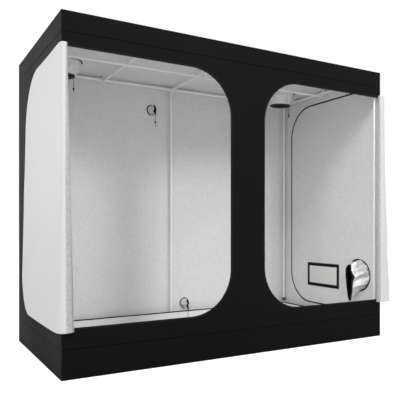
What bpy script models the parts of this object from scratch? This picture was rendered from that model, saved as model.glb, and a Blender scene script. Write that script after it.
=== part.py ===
# Indoor grow tent: a light-proof cloth canopy over a frame of push-fit steel tubes.
# Metres, +Z up. The origin is on the floor under the middle of the tent, the doors face -Y.
import bmesh
import bpy
from math import cos, pi, radians, sin
from mathutils import Matrix, Vector

# Overall size of the canopy, outside to outside
tent_width = 2.40
tent_depth = 1.20
tent_height = 2.00

# Clearances: cloth against cloth, a folded door against the wall, and the overrun of every cutter
fit_gap = 0.0003
door_gap = 0.0008
cut_overrun = 0.02
merge_distance = 0.00001

# Canopy cloth with its lining
canopy_cloth = 0.002

# Frame tubes, and how far their centrelines lie inside the canopy
tube_radius = 0.0095
tube_wall = 0.001
tube_inset = 0.030
top_rail_drop = 0.030
tube_sides = 12

# Push-fit connectors
connector_wall = 0.0015
connector_arm = 0.075
connector_back = 0.0095
foot_socket_wall = 0.0007
socket_stop = 0.014

# Hanging bars that hook over the top rails: two along the tent, two across it
bar_radius = 0.008
bar_wall = 0.001
hook_clearance = 0.0010
hook_wrap_deg = 140
hook_steps = 5
bend_steps = 3
hanging_bar_drop = 0.033
hanging_bar_bend = 0.014
hanging_bar_from_front = 0.60
crossing_bar_drop = 0.0135
crossing_bar_bend = 0.0135
crossing_bar_from_side = 0.61
bar_side_gap = 0.0012

# Front doorways: a strip beside each corner, a column between them
doorway_bottom = 0.280
doorway_top_margin = 0.194
doorway_radius = 0.280
corner_strip = 0.040
middle_column = 0.264
arc_steps = 8

# Front doors, folded back round the front corners
door_cloth = 0.002
door_overlap = 0.014
door_bow = 0.010
door_cells_across = 10
door_cells_up = 14

# Zips: a woven track, and a slider with its pull
zip_width = 0.012
zip_thickness = 0.003
slider_length = 0.024
slider_width = 0.012
slider_thickness = 0.005
pull_length = 0.028
pull_width = 0.007
pull_thickness = 0.0015
slider_from_hinge = 0.030

# Side door, zipped shut in the right wall
side_door_bottom = 0.155
side_door_top_margin = 0.092
side_door_rear_strip = 0.108
side_door_radius = 0.270
side_door_strip = 0.020

# Vent window low in the side door, with its inner flap
vent_from_front = 0.442
vent_length = 0.397
vent_bottom = 0.311
vent_height = 0.200
vent_border = 0.020
vent_cloth = 0.0015

# Duct ports with pleated sleeves, each ending in a hem for its drawstring
duct_radius = 0.122
duct_sides = 40
duct_pleats = 10
duct_pleat_depth = 0.006
sleeve_cloth = 0.0015
sleeve_shares = (0, 0.25, 0.5, 0.75, 1)
hem_height = 0.014
hem_thickness = 0.005
hem_lap = 0.001
ceiling_duct_from_side = 0.25
ceiling_duct_from_rear = 0.27
ceiling_duct_drop = 0.111
ceiling_duct_mouth = 0.087
side_duct_from_front = 0.225
side_duct_height = 0.443
side_duct_reach = 0.115
side_duct_mouth_half_width = 0.029
side_duct_mouth_half_height = 0.140
side_duct_mouth_sag = 0.055
side_duct_mouth_shift = 0.045

# Cable ports in the rear wall, gathered flat to one side
cable_radius = 0.042
cable_sides = 24
cable_pleats = 6
cable_pleat_depth = 0.002
cable_reach = 0.055
cable_mouth_half_width = 0.010
cable_mouth_half_height = 0.036
cable_mouth_sag = 0.009
cable_mouth_shift = 0.008
cable_hem_height = 0.010
cable_hem_thickness = 0.004
upper_port_from_middle = 0.165
upper_port_from_top = 0.213
lower_port_from_middle = 0.135
lower_port_height = 0.184

# Drawstrings and their cord locks
cord_radius = 0.0015
cord_spacing = 0.0085
ceiling_cord_length = 0.093
left_cord_turn_deg = 20
right_cord_turn_deg = -7
side_cord_length = 0.090
upper_cord_length = 0.099
lower_cord_length = 0.085
toggle_radius = 0.0065
toggle_length = 0.018
toggle_bore_gap = 0.0005
toggle_rounding = 0.002
toggle_sides = 12
ceiling_toggle_drop = 0.069
side_toggle_drop = 0.060
upper_toggle_drop = 0.060
lower_toggle_drop = 0.012

# Floor tray, and the strap that holds its rear corner to the upright
tray_height = 0.1225
tray_cloth = 0.002
tray_inset = 0.048
strap_cloth = 0.004
strap_height = 0.027
strap_above_tray = 0.011

# Where the walls stand: the folded doors stand proud of the front, so the tent sits that much back
front_proud = door_gap + door_cloth
left_face = -tent_width / 2
right_face = tent_width / 2
front_face = -tent_depth / 2 + front_proud / 2
rear_face = front_face + tent_depth
inner_left = left_face + canopy_cloth
inner_right = right_face - canopy_cloth
inner_front = front_face + canopy_cloth
inner_rear = rear_face - canopy_cloth
inner_top = tent_height - canopy_cloth

# Lines of the frame
connector_bore = tube_radius + fit_gap
connector_radius = connector_bore + connector_wall
frame_left = left_face + tube_inset
frame_right = right_face - tube_inset
frame_front = front_face + tube_inset
frame_rear = rear_face - tube_inset
bottom_rail_z = canopy_cloth + fit_gap + connector_radius
top_rail_z = tent_height - top_rail_drop

# Lines of the doorways and doors
doorway_top = tent_height - doorway_top_margin
left_hinge_x = left_face + corner_strip
right_hinge_x = right_face - corner_strip
column_half = middle_column / 2
door_bottom = doorway_bottom - door_overlap
door_top = doorway_top + door_overlap
doorway_width = right_hinge_x - column_half
door_reach = doorway_width + door_overlap - corner_strip


def clear_scene():
    for old in list(bpy.data.objects):
        bpy.data.objects.remove(old, do_unlink=True)


def new_collection(name):
    made = bpy.data.collections.new(name)
    bpy.context.scene.collection.children.link(made)
    return made


def finish(name, colour, roughness, metallic=0.0):
    made = bpy.data.materials.new(name)
    made.use_nodes = True
    shader = made.node_tree.nodes["Principled BSDF"]
    shader.inputs["Base Color"].default_value = (*colour, 1)
    shader.inputs["Roughness"].default_value = roughness
    shader.inputs["Metallic"].default_value = metallic
    return made


def add(name, data, look):
    made = bpy.data.objects.new(name, data)
    data.materials.append(look)
    tent.objects.link(made)
    return made


def hide(helper):
    helper.hide_render = True
    helper.display_type = "WIRE"
    for home in list(helper.users_collection):
        home.objects.unlink(helper)
    cutters.objects.link(helper)
    return helper


def bool_with(target, helper, operation):
    step = target.modifiers.new(helper.name, "BOOLEAN")
    step.operation = operation
    step.solver = "EXACT"
    step.object = hide(helper)


def bool_with_all(target, label, helpers, operation):
    """One Boolean with a whole collection of helpers."""
    group = bpy.data.collections.new(label)
    cutters.children.link(group)
    for helper in helpers:
        hide(helper)
        cutters.objects.unlink(helper)
        group.objects.link(helper)
    step = target.modifiers.new(label, "BOOLEAN")
    step.operation = operation
    step.solver = "EXACT"
    step.operand_type = "COLLECTION"
    step.collection = group


def as_mesh(source):
    """The same shape as a mesh object, so that it can be cut or be a cutter."""
    bpy.context.view_layer.update()
    graph = bpy.context.evaluated_depsgraph_get()
    data = bpy.data.meshes.new_from_object(source.evaluated_get(graph))
    welded = bmesh.new()
    welded.from_mesh(data)
    bmesh.ops.remove_doubles(welded, verts=welded.verts, dist=merge_distance)
    welded.to_mesh(data)
    welded.free()
    name, place = source.name, source.matrix_world.copy()
    bpy.data.objects.remove(source, do_unlink=True)
    made = bpy.data.objects.new(name, data)
    made.matrix_world = place
    tent.objects.link(made)
    return made


def pivot(name, place, carrier=None):
    """An empty on a hinge's axis. What it carries keeps its place in the model."""
    made = bpy.data.objects.new(name, None)
    made.location = place
    tent.objects.link(made)
    if carrier:
        carry(made, carrier)
    return made


def carry(made, carrier):
    bpy.context.view_layer.update()
    made.parent = carrier
    made.matrix_parent_inverse = carrier.matrix_world.inverted()


def arc(centre, radius, start_deg, end_deg, steps):
    turn = [radians(start_deg + (end_deg - start_deg) * i / steps) for i in range(steps + 1)]
    return [(centre[0] + radius * cos(a), centre[1] + radius * sin(a)) for a in turn]


def circle(centre, radius, sides):
    return arc(centre, radius, 0, 360, sides)[:-1]


def rectangle(low, high):
    return [low, (high[0], low[1]), high, (low[0], high[1])]


def bay_path(hinge, free, bottom, top, radius):
    """From the hinge edge along the bottom, round the free side, and back along the top."""
    centre = abs(free - hinge) - radius
    lower = arc((centre, bottom + radius), radius, -90, 0, arc_steps)
    upper = arc((centre, top - radius), radius, 0, 90, arc_steps)
    way = 1 if free > hinge else -1
    path = [(0, bottom), *lower, *upper, (0, top)]
    return [(hinge + way * across, up) for across, up in path]


def between(low, high, share):
    return low + (high - low) * share


def plate(name, outlines, thickness, middle, facing, look):
    """A flat outline with holes. Facing is the axis that its faces look along."""
    data = bpy.data.curves.new(name, "CURVE")
    data.dimensions = "2D"
    data.fill_mode = "BOTH"
    data.extrude = thickness / 2
    for outline in outlines:
        spline = data.splines.new("POLY")
        spline.points.add(len(outline) - 1)
        for point, (across, up) in zip(spline.points, outline):
            point.co = (across, up, 0, 1)
        spline.use_cyclic_u = True
    made = add(name, data, look)
    if facing == "Y":
        made.rotation_euler = (pi / 2, 0, 0)
        made.location = (0, middle, 0)
    elif facing == "X":
        made.rotation_euler = (pi / 2, 0, pi / 2)
        made.location = (middle, 0, 0)
    else:
        made.location = (0, 0, middle)
    return made


def box(name, low, high, look, place=(0, 0, 0)):
    """A block between two corners that are measured from its place."""
    low, high = Vector(low), Vector(high)
    shape = bmesh.new()
    stretch = Matrix.Translation((low + high) / 2) @ Matrix.Diagonal((*(high - low), 1))
    bmesh.ops.create_cube(shape, size=1, matrix=stretch)
    data = bpy.data.meshes.new(name)
    shape.to_mesh(data)
    shape.free()
    made = add(name, data, look)
    made.location = place
    return made


def turned(name, profile, sides, look, place=(0, 0, 0)):
    """A closed profile of (radius, height) points turned about Z, outer side downwards."""
    data = bpy.data.meshes.new(name)
    edges = [(i, (i + 1) % len(profile)) for i in range(len(profile))]
    data.from_pydata([(radius, 0, height) for radius, height in profile], edges, [])
    made = add(name, data, look)
    made.location = place
    screw = made.modifiers.new("turn", "SCREW")
    screw.axis = "Z"
    screw.angle = 2 * pi
    screw.steps = sides
    screw.render_steps = sides
    screw.use_merge_vertices = True
    screw.merge_threshold = merge_distance
    return made


def aim(made, way):
    made.rotation_mode = "QUATERNION"
    made.rotation_quaternion = Vector(way).to_track_quat("Z", "Y")


def rod(name, start, end, radius, look):
    """A solid cylinder between two points."""
    start, end = Vector(start), Vector(end)
    shape = bmesh.new()
    bmesh.ops.create_cone(
        shape,
        cap_ends=True,
        segments=tube_sides,
        radius1=radius,
        radius2=radius,
        depth=(end - start).length,
    )
    data = bpy.data.meshes.new(name)
    shape.to_mesh(data)
    shape.free()
    made = add(name, data, look)
    made.location = (start + end) / 2
    aim(made, end - start)
    return made


def wire(name, points, radius, look, place=(0, 0, 0)):
    """A round bar or cord along a route that is measured from its place."""
    data = bpy.data.curves.new(name, "CURVE")
    data.dimensions = "3D"
    data.bevel_depth = radius
    data.bevel_resolution = 2
    data.use_fill_caps = True
    spline = data.splines.new("POLY")
    spline.points.add(len(points) - 1)
    for point, spot in zip(spline.points, points):
        point.co = (*spot, 1)
    made = add(name, data, look)
    made.location = place
    return made


def sleeve_loft(name, rings, thickness, look):
    """A cloth sleeve through rings of points, thickened inwards."""
    sides = len(rings[0])
    faces = []
    for row in range(len(rings) - 1):
        for i in range(sides):
            this, after = row * sides + i, row * sides + (i + 1) % sides
            faces.append((this, after, after + sides, this + sides))
    data = bpy.data.meshes.new(name)
    data.from_pydata([point for ring in rings for point in ring], [], faces)
    made = add(name, data, look)
    wall = made.modifiers.new("wall", "SOLIDIFY")
    wall.thickness = thickness
    wall.offset = -1
    return made


# Frame


def frame_tube(name, start, end):
    """A hollow tube whose ends stop just inside the connectors at both points."""
    start, end = Vector(start), Vector(end)
    stop = socket_stop + fit_gap
    length = (end - start).length - 2 * stop
    bore = tube_radius - tube_wall
    wall = [(tube_radius, length), (tube_radius, 0), (bore, 0), (bore, length)]
    way = (end - start).normalized()
    made = turned(name, wall, tube_sides, white_steel, start + way * stop)
    aim(made, way)


def sleeves_at(name, centre, arms, through):
    """The outer sleeves of a connector: an arm for each tube, and one for a tube both ways."""
    centre = Vector(centre)
    made = []
    for way in map(Vector, arms):
        number = len(made)
        back = connector_arm if through and number == 0 else connector_back
        start, end = centre - way * back, centre + way * connector_arm
        made.append(rod(f"{name}_sleeve_{number}", start, end, connector_radius, zinc))
    return made


def sockets_at(name, centre, arms, through):
    """The bores of a connector, from the stop at its middle to past the end of each arm."""
    centre = Vector(centre)
    ways = [Vector(arm) for arm in arms]
    if through:
        ways.append(-ways[0])
    made = []
    for way in ways:
        start = centre + way * socket_stop
        end = centre + way * (connector_arm + cut_overrun)
        made.append(rod(f"{name}_socket_{len(made)}", start, end, connector_bore, zinc))
    return made


def connector(name, centre, arms, through=False):
    made, *others = sleeves_at(name, centre, arms, through)
    made.name = name
    for sleeve in others:
        bool_with(made, sleeve, "UNION")
    for socket in sockets_at(name, centre, arms, through):
        bool_with(made, socket, "DIFFERENCE")


def make_uprights_and_rails():
    columns = {"left": frame_left, "mid": 0, "right": frame_right}
    rows = {"front": frame_front, "rear": frame_rear}
    top = top_rail_z
    for row, y in rows.items():
        for column, x in columns.items():
            frame_tube(f"{row}_{column}_upright", (x, y, bottom_rail_z), (x, y, top))
        frame_tube(f"{row}_left_top_rail", (frame_left, y, top), (0, y, top))
        frame_tube(f"{row}_right_top_rail", (0, y, top), (frame_right, y, top))
    for column, x in columns.items():
        frame_tube(f"{column}_top_rail", (x, frame_front, top), (x, frame_rear, top))


def make_top_connectors():
    for row, y, back in (("front", frame_front, 1), ("rear", frame_rear, -1)):
        for column, x, across in (("left", frame_left, 1), ("right", frame_right, -1)):
            arms = ((across, 0, 0), (0, back, 0), (0, 0, -1))
            connector(f"{row}_{column}_connector", (x, y, top_rail_z), arms)
        arms = ((1, 0, 0), (0, back, 0), (0, 0, -1))
        connector(f"{row}_mid_connector", (0, y, top_rail_z), arms, through=True)


def base_rail(name, radius):
    """A round rail in a loop round the foot of the tent."""
    corners = rectangle((frame_left, frame_front), (frame_right, frame_rear))
    made = wire(name, [(x, y, bottom_rail_z) for x, y in corners], radius, white_steel)
    made.data.splines[0].use_cyclic_u = True
    return as_mesh(made)


def base_connector(name, x, y, across, back):
    """An elbow or, at the middle, a straight sleeve along the rail, and the foot's socket."""
    z, arm = bottom_rail_z, connector_arm
    if across:
        run = [(x + across * arm, y, z), (x, y, z), (x, y + back * arm, z)]
        sleeve = as_mesh(wire(f"{name}_elbow", run, connector_radius, zinc))
    else:
        ends = (x - arm, y, z), (x + arm, y, z)
        sleeve = rod(f"{name}_sleeve", *ends, connector_radius, zinc)
    foot = connector_bore + foot_socket_wall
    low, top = z - tube_wall, z + arm
    return sleeve, rod(f"{name}_foot", (x, y, low), (x, y, top), foot, zinc)


def make_base_frame():
    """The bottom rails and their six connectors as one ring, hollow like the tubes."""
    z = bottom_rail_z
    bore = tube_radius - tube_wall
    sleeves, cuts = [], [base_rail("base_hollow", bore)]
    for y, back in ((frame_front, 1), (frame_rear, -1)):
        for x, across in ((frame_left, 1), (0, 0), (frame_right, -1)):
            name = f"base_{len(sleeves)}"
            sleeves += base_connector(name, x, y, across, back)
            low, top = z + tube_wall, z + socket_stop + fit_gap
            cuts.append(rod(f"{name}_stem", (x, y, low), (x, y, top), bore - tube_wall, zinc))
            cuts += sockets_at(name, (x, y, z), ((0, 0, 1),), False)
    made = base_rail("base_frame", tube_radius)
    bool_with_all(made, "base_connectors", sleeves, "UNION")
    bool_with_all(made, "base_bores", cuts, "DIFFERENCE")


def hook_outline(drop, bend):
    """A hanging bar's end, from the tip of its hook over the rail and down to the bar.

    The points are (distance inwards from the rail's middle, height over it)."""
    grip = tube_radius + hook_clearance + bar_radius
    over = arc((0, 0), grip, hook_wrap_deg, 0, hook_steps)
    turn = arc((grip + bend, bend - drop), bend, 180, 270, bend_steps)
    return over + (turn if drop > bend else turn[1:])


def hooked_bar(name, rails, side, drop, bend, axis):
    """A bar along X (axis 0) or Y (axis 1) at one side, hooked over two rails."""
    middle, half = (rails[0] + rails[1]) / 2, (rails[1] - rails[0]) / 2
    hook = hook_outline(drop, bend)
    route = [(out - half, up) for out, up in hook]
    route += [(half - out, up) for out, up in reversed(hook)]
    points = [Vector((run, 0, up)) if axis == 0 else Vector((0, run, up)) for run, up in route]
    place = (middle, side, top_rail_z) if axis == 0 else (side, middle, top_rail_z)
    made = as_mesh(wire(name, points, bar_radius, white_steel, place))
    start = points[0] + (points[0] - points[1]).normalized() * bar_wall
    end = points[-1] + (points[-1] - points[-2]).normalized() * bar_wall
    through = [start, *points[1:-1], end]
    bore = wire(f"{name}_bore", through, bar_radius - bar_wall, white_steel, place)
    bool_with(made, as_mesh(bore), "DIFFERENCE")


def make_hanging_bars():
    """The two along the tent share its middle rail, so they hook over it side by side."""
    y = front_face + hanging_bar_from_front
    beside = bar_radius + bar_side_gap
    for bay, rails, shift in (
        ("left", (frame_left, 0), -beside),
        ("right", (0, frame_right), beside),
    ):
        name = f"{bay}_hanging_bar"
        hooked_bar(name, rails, y + shift, hanging_bar_drop, hanging_bar_bend, 0)
    rails = (frame_front, frame_rear)
    for bay, x in (
        ("left", left_face + crossing_bar_from_side),
        ("right", right_face - crossing_bar_from_side),
    ):
        name = f"{bay}_crossing_bar"
        hooked_bar(name, rails, x, crossing_bar_drop, crossing_bar_bend, 1)


# Canopy


def ceiling_ducts():
    y = rear_face - ceiling_duct_from_rear
    return {
        "left": (left_face + ceiling_duct_from_side, y),
        "right": (right_face - ceiling_duct_from_side, y),
    }


def cable_ports():
    return {
        "upper": (-upper_port_from_middle, tent_height - upper_port_from_top),
        "lower": (lower_port_from_middle, lower_port_height),
    }


def doorway_path(side, grow=0):
    """The edge of a doorway, or a line that far outside it."""
    hinge = left_hinge_x if side == "left" else right_hinge_x
    free = -column_half + grow if side == "left" else column_half - grow
    bottom, top = doorway_bottom - grow, doorway_top + grow
    return bay_path(hinge, free, bottom, top, doorway_radius + grow)


def side_door_path(shrink, edge=0):
    """The slot of the side door's zip, or a line that far inside it, as (y, z) points."""
    hinge = inner_front + side_door_strip + edge
    free = rear_face - side_door_rear_strip - shrink
    bottom = side_door_bottom + shrink
    top = tent_height - side_door_top_margin - shrink
    return bay_path(hinge, free, bottom, top, side_door_radius - shrink)


def make_canopy():
    half = canopy_cloth / 2
    outside = rectangle((left_face, 0), (right_face, tent_height))
    front = [outside, doorway_path("left"), doorway_path("right")]
    plate("front_panel", front, canopy_cloth, front_face + half, "Y", black_cloth)
    ports = [circle(centre, cable_radius, cable_sides) for centre in cable_ports().values()]
    rear = [outside, *ports]
    plate("rear_panel", rear, canopy_cloth, rear_face - half, "Y", black_cloth)
    start, end = inner_front + fit_gap, inner_rear - fit_gap
    side = rectangle((start, 0), (end, tent_height))
    plate("left_panel", [side], canopy_cloth, left_face + half, "X", black_cloth)
    right = [side, side_door_path(0)]
    plate("right_panel", right, canopy_cloth, right_face - half, "X", black_cloth)
    level = rectangle((inner_left + fit_gap, start), (inner_right - fit_gap, end))
    ducts = [circle(centre, duct_radius, duct_sides) for centre in ceiling_ducts().values()]
    plate("roof_panel", [level, *ducts], canopy_cloth, tent_height - half, "Z", black_cloth)
    plate("floor_panel", [level], canopy_cloth, half, "Z", black_cloth)


# Side door with its vent window


def vent_window(shrink=0):
    start = front_face + vent_from_front
    low = (start + shrink, vent_bottom + shrink)
    high = (start + vent_length - shrink, vent_bottom + vent_height - shrink)
    return rectangle(low, high)


def make_side_door():
    port = circle((front_face + side_duct_from_front, side_duct_height), duct_radius, duct_sides)
    panel = [side_door_path(zip_width, fit_gap), port, vent_window(vent_border)]
    middle = right_face - canopy_cloth / 2
    plate("side_door_panel", panel, canopy_cloth, middle, "X", black_cloth)
    outer, inner = side_door_path(fit_gap, fit_gap), side_door_path(zip_width - fit_gap, fit_gap)
    middle = right_face - zip_thickness / 2
    plate("side_door_zip", [outer + inner[::-1]], zip_thickness, middle, "X", black_tape)
    border = [vent_window(), vent_window(vent_border)]
    middle = inner_right - fit_gap - vent_cloth / 2
    plate("vent_border", border, vent_cloth, middle, "X", black_tape)
    mesh = [vent_window(vent_border + fit_gap)]
    middle = inner_right - vent_cloth / 2
    plate("vent_mesh", mesh, vent_cloth, middle, "X", pale_mesh)


# Front doors


def door_body(side, corner):
    """The door's cloth, hanging against the side wall behind the corner with a slight bow."""
    way = -1 if side == "left" else 1
    corner_x, corner_y = corner
    bottom, top, start = door_bottom, door_top, corner_y + fit_gap
    shape = bmesh.new()
    cells = {"x_segments": door_cells_across, "y_segments": door_cells_up}
    bmesh.ops.create_grid(shape, size=1, **cells)
    for vertex in shape.verts:
        across, up = (vertex.co.x + 1) / 2, (vertex.co.y + 1) / 2
        bow = door_bow * (sin(pi * across) * sin(pi * up)) ** 2
        y = start + across * door_reach
        vertex.co = (corner_x + way * bow, y, between(bottom, top, up))
    if way < 0:
        bmesh.ops.reverse_faces(shape, faces=shape.faces)
    data = bpy.data.meshes.new(f"{side}_front_door")
    shape.to_mesh(data)
    shape.free()
    made = add(f"{side}_front_door", data, white_lining)
    thick = made.modifiers.new("cloth", "SOLIDIFY")
    thick.thickness = door_cloth
    thick.offset = 1
    radius = doorway_radius + door_overlap
    outline = bay_path(start - cut_overrun, start + door_reach, bottom, top, radius)
    depth = 2 * (door_bow + door_cloth + cut_overrun)
    cutter = plate(f"{side}_door_outline", [outline], depth, corner_x, "X", white_lining)
    bool_with(made, as_mesh(cutter), "INTERSECT")
    return made


def make_front_doors():
    """Each door turns about its seam beside the corner, and folds again round the corner."""
    hem_middle = front_face - door_gap - door_cloth / 2
    for side in ("left", "right"):
        seam_x = left_hinge_x if side == "left" else right_hinge_x
        corner_x = left_face - door_gap if side == "left" else right_face + door_gap
        corner_y = front_face - door_gap
        seam = pivot(f"{side}_door_seam", (seam_x, hem_middle, 0))
        fold = pivot(f"{side}_door_fold", (corner_x, corner_y, 0), seam)
        low, high = min(seam_x, corner_x), max(seam_x, corner_x)
        strip = [rectangle((low, door_bottom), (high, door_top))]
        hem = plate(f"{side}_door_hem", strip, door_cloth, hem_middle, "Y", white_lining)
        carry(hem, seam)
        carry(door_body(side, (corner_x, corner_y)), fold)


# Zips


def slider(name, place, inward, axis):
    """A zip slider with its pull, on the face of its track, looking inwards along an axis."""

    def block(label, half, bottom, top, near, far):
        low, high = [-half, -half, bottom], [half, half, top]
        ends = (inward * near, inward * far)
        low[axis], high[axis] = min(ends), max(ends)
        return box(label, low, high, dark_metal, place)

    thick, half_width = slider_thickness, slider_width / 2
    made = block(name, slider_length / 2, -half_width, half_width, fit_gap, thick)
    bottom = -half_width - pull_length
    near = thick - pull_thickness
    pull = block(f"{name}_pull", pull_width / 2, bottom, 0, near, thick + merge_distance)
    bool_with(made, pull, "UNION")


def make_zips():
    face = inner_front + fit_gap
    for side in ("left", "right"):
        track = doorway_path(side, zip_width) + doorway_path(side)[::-1]
        middle = face + zip_thickness / 2
        plate(f"{side}_door_zip", [track], zip_thickness, middle, "Y", black_tape)
        way = 1 if side == "left" else -1
        seam_x = left_hinge_x if side == "left" else right_hinge_x
        z = doorway_bottom - zip_width / 2
        place = (seam_x + way * slider_from_hinge, face + zip_thickness, z)
        slider(f"{side}_zip_slider", place, 1, 1)
    y = inner_front + side_door_strip + slider_from_hinge
    place = (right_face - zip_thickness, y, side_door_bottom + zip_width / 2)
    slider("side_zip_slider", place, -1, 0)


# Ports, sleeves and drawstrings


def drawstring(name, top, length, toggle_drop):
    """A cord that hangs from a hem, with the cord lock on it."""
    steps = round(length / cord_spacing)
    points = [(0, 0, -length * i / steps) for i in range(steps + 1)]
    wire(f"{name}_cord", points, cord_radius, black_cord, top)
    bore = cord_radius + toggle_bore_gap
    half = toggle_length / 2
    edge = toggle_radius - toggle_rounding
    shape = [
        (bore, half),
        (edge, half),
        (toggle_radius, half - toggle_rounding),
        (toggle_radius, toggle_rounding - half),
        (edge, -half),
        (bore, -half),
    ]
    place = (top[0], top[1], top[2] - toggle_drop)
    turned(f"{name}_toggle", shape, toggle_sides, black_plastic, place)


def pleated_sleeve(name, port, reach, mouth, droop, hem, onto_wall):
    """A sleeve that narrows from its round port to a mouth with a hem, with pleats between.

    The port is (centre, radius, sides, pleats, pleat depth), and the droop is how far the
    mouth lies across and below the port, with the power by which its width narrows. Its
    points are (across, up, depth), which onto_wall turns into places on a wall.
    Returns the lowest point of the hem."""
    centre, radius, sides, pleats, pleat_depth = port
    shift, sag, power = droop

    def ring(share, depth, lap=0):
        wide = between(radius, mouth[0], share**power) + lap
        tall = between(radius, mouth[1], share**2) + lap
        middle = (centre[0] + shift * share, centre[1] - sag * share**2)
        made = []
        for turn in [2 * pi * i / sides for i in range(sides)]:
            pleat = pleat_depth * sin(pi * share) * cos(pleats * turn)
            across = middle[0] + (wide + pleat) * cos(turn)
            up = middle[1] + (tall + pleat) * sin(turn)
            made.append(onto_wall(across, up, depth))
        return made

    rings = [ring(0, 0)]
    rings += [ring(share, canopy_cloth + reach * share) for share in sleeve_shares]
    sleeve = sleeve_loft(name, rings, sleeve_cloth, silver_cloth)
    end = canopy_cloth + reach
    height, thickness = hem
    edge = [ring(1, end - sleeve_cloth, hem_lap), ring(1, end + height, hem_lap)]
    bool_with(sleeve, sleeve_loft(f"{name}_hem", edge, thickness, black_tape), "UNION")
    below = centre[1] - sag - mouth[1] - hem_lap - fit_gap
    return onto_wall(centre[0] + shift, below, end + height / 2)


def duct_port(centre):
    return centre, duct_radius - fit_gap, duct_sides, duct_pleats, duct_pleat_depth


def ceiling_duct(side, centre, cord_turn_deg):
    """A round sleeve that hangs through the roof."""
    x, y = centre
    mouth = ceiling_duct_mouth
    pleated_sleeve(
        f"{side}_ceiling_duct_sleeve",
        duct_port((0, 0)),
        ceiling_duct_drop - hem_height - canopy_cloth,
        (mouth, mouth),
        (0, 0, 2),
        (hem_height, hem_thickness),
        lambda across, back, depth: (x - across, y + back, tent_height - depth),
    )
    ring = mouth - hem_thickness / 2
    turn = radians(cord_turn_deg)
    bottom = tent_height - ceiling_duct_drop
    cord_top = (x + ring * cos(turn), y + ring * sin(turn), bottom - fit_gap)
    drawstring(f"{side}_ceiling_duct", cord_top, ceiling_cord_length, ceiling_toggle_drop)


def make_side_duct():
    low = pleated_sleeve(
        "side_duct_sleeve",
        duct_port((-front_face - side_duct_from_front, side_duct_height)),
        side_duct_reach,
        (side_duct_mouth_half_width, side_duct_mouth_half_height),
        (side_duct_mouth_shift, side_duct_mouth_sag, 1),
        (hem_height, hem_thickness),
        lambda across, up, depth: (right_face - depth, -across, up),
    )
    drawstring("side_duct", low, side_cord_length, side_toggle_drop)


def make_cable_port(port, cord_length, toggle_drop):
    radius = cable_radius - fit_gap
    low = pleated_sleeve(
        f"{port}_cable_sleeve",
        (cable_ports()[port], radius, cable_sides, cable_pleats, cable_pleat_depth),
        cable_reach,
        (cable_mouth_half_width, cable_mouth_half_height),
        (cable_mouth_shift, cable_mouth_sag, 1),
        (cable_hem_height, cable_hem_thickness),
        lambda across, up, depth: (across, rear_face - depth, up),
    )
    drawstring(f"{port}_cable", low, cord_length, toggle_drop)


def make_ports():
    ducts = ceiling_ducts()
    ceiling_duct("left", ducts["left"], left_cord_turn_deg)
    ceiling_duct("right", ducts["right"], right_cord_turn_deg)
    make_side_duct()
    make_cable_port("upper", upper_cord_length, upper_toggle_drop)
    make_cable_port("lower", lower_cord_length, lower_toggle_drop)


# Floor tray


def make_tray():
    low = (left_face + tray_inset, front_face + tray_inset, canopy_cloth + fit_gap)
    high = (right_face - tray_inset, rear_face - tray_inset, low[2] + tray_height)
    tray = box("floor_tray", low, high, silver_cloth)
    inside_low = [value + tray_cloth for value in low]
    inside_high = [high[0] - tray_cloth, high[1] - tray_cloth, high[2] + cut_overrun]
    bool_with(tray, box("tray_inside", inside_low, inside_high, silver_cloth), "DIFFERENCE")
    bore = tube_radius + fit_gap
    wall = [
        (bore + strap_cloth, strap_height),
        (bore + strap_cloth, 0),
        (bore, 0),
        (bore, strap_height),
    ]
    place = (frame_right, frame_rear, high[2] + strap_above_tray)
    turned("rear_right_tray_strap", wall, tube_sides, black_tape, place)


clear_scene()
tent = new_collection("indoor_grow_tent")
cutters = new_collection("cutters")
black_cloth = finish("black_cloth", (0.012, 0.012, 0.012), 0.75)
white_lining = finish("white_lining", (0.72, 0.72, 0.72), 0.5)
silver_cloth = finish("silver_cloth", (0.52, 0.52, 0.52), 0.35, 0.4)
white_steel = finish("white_steel", (0.82, 0.82, 0.82), 0.35)
zinc = finish("zinc", (0.78, 0.78, 0.78), 0.35)
pale_mesh = finish("pale_mesh", (0.50, 0.49, 0.47), 0.8)
black_tape = finish("black_tape", (0.010, 0.010, 0.010), 0.7)
black_cord = finish("black_cord", (0.010, 0.010, 0.010), 0.8)
black_plastic = finish("black_plastic", (0.010, 0.010, 0.010), 0.45)
dark_metal = finish("dark_metal", (0.030, 0.030, 0.030), 0.35, 0.8)
make_uprights_and_rails()
make_top_connectors()
make_base_frame()
make_hanging_bars()
make_canopy()
make_side_door()
make_front_doors()
make_zips()
make_ports()
make_tray()
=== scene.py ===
from math import cos, pi, radians, sin

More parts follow.
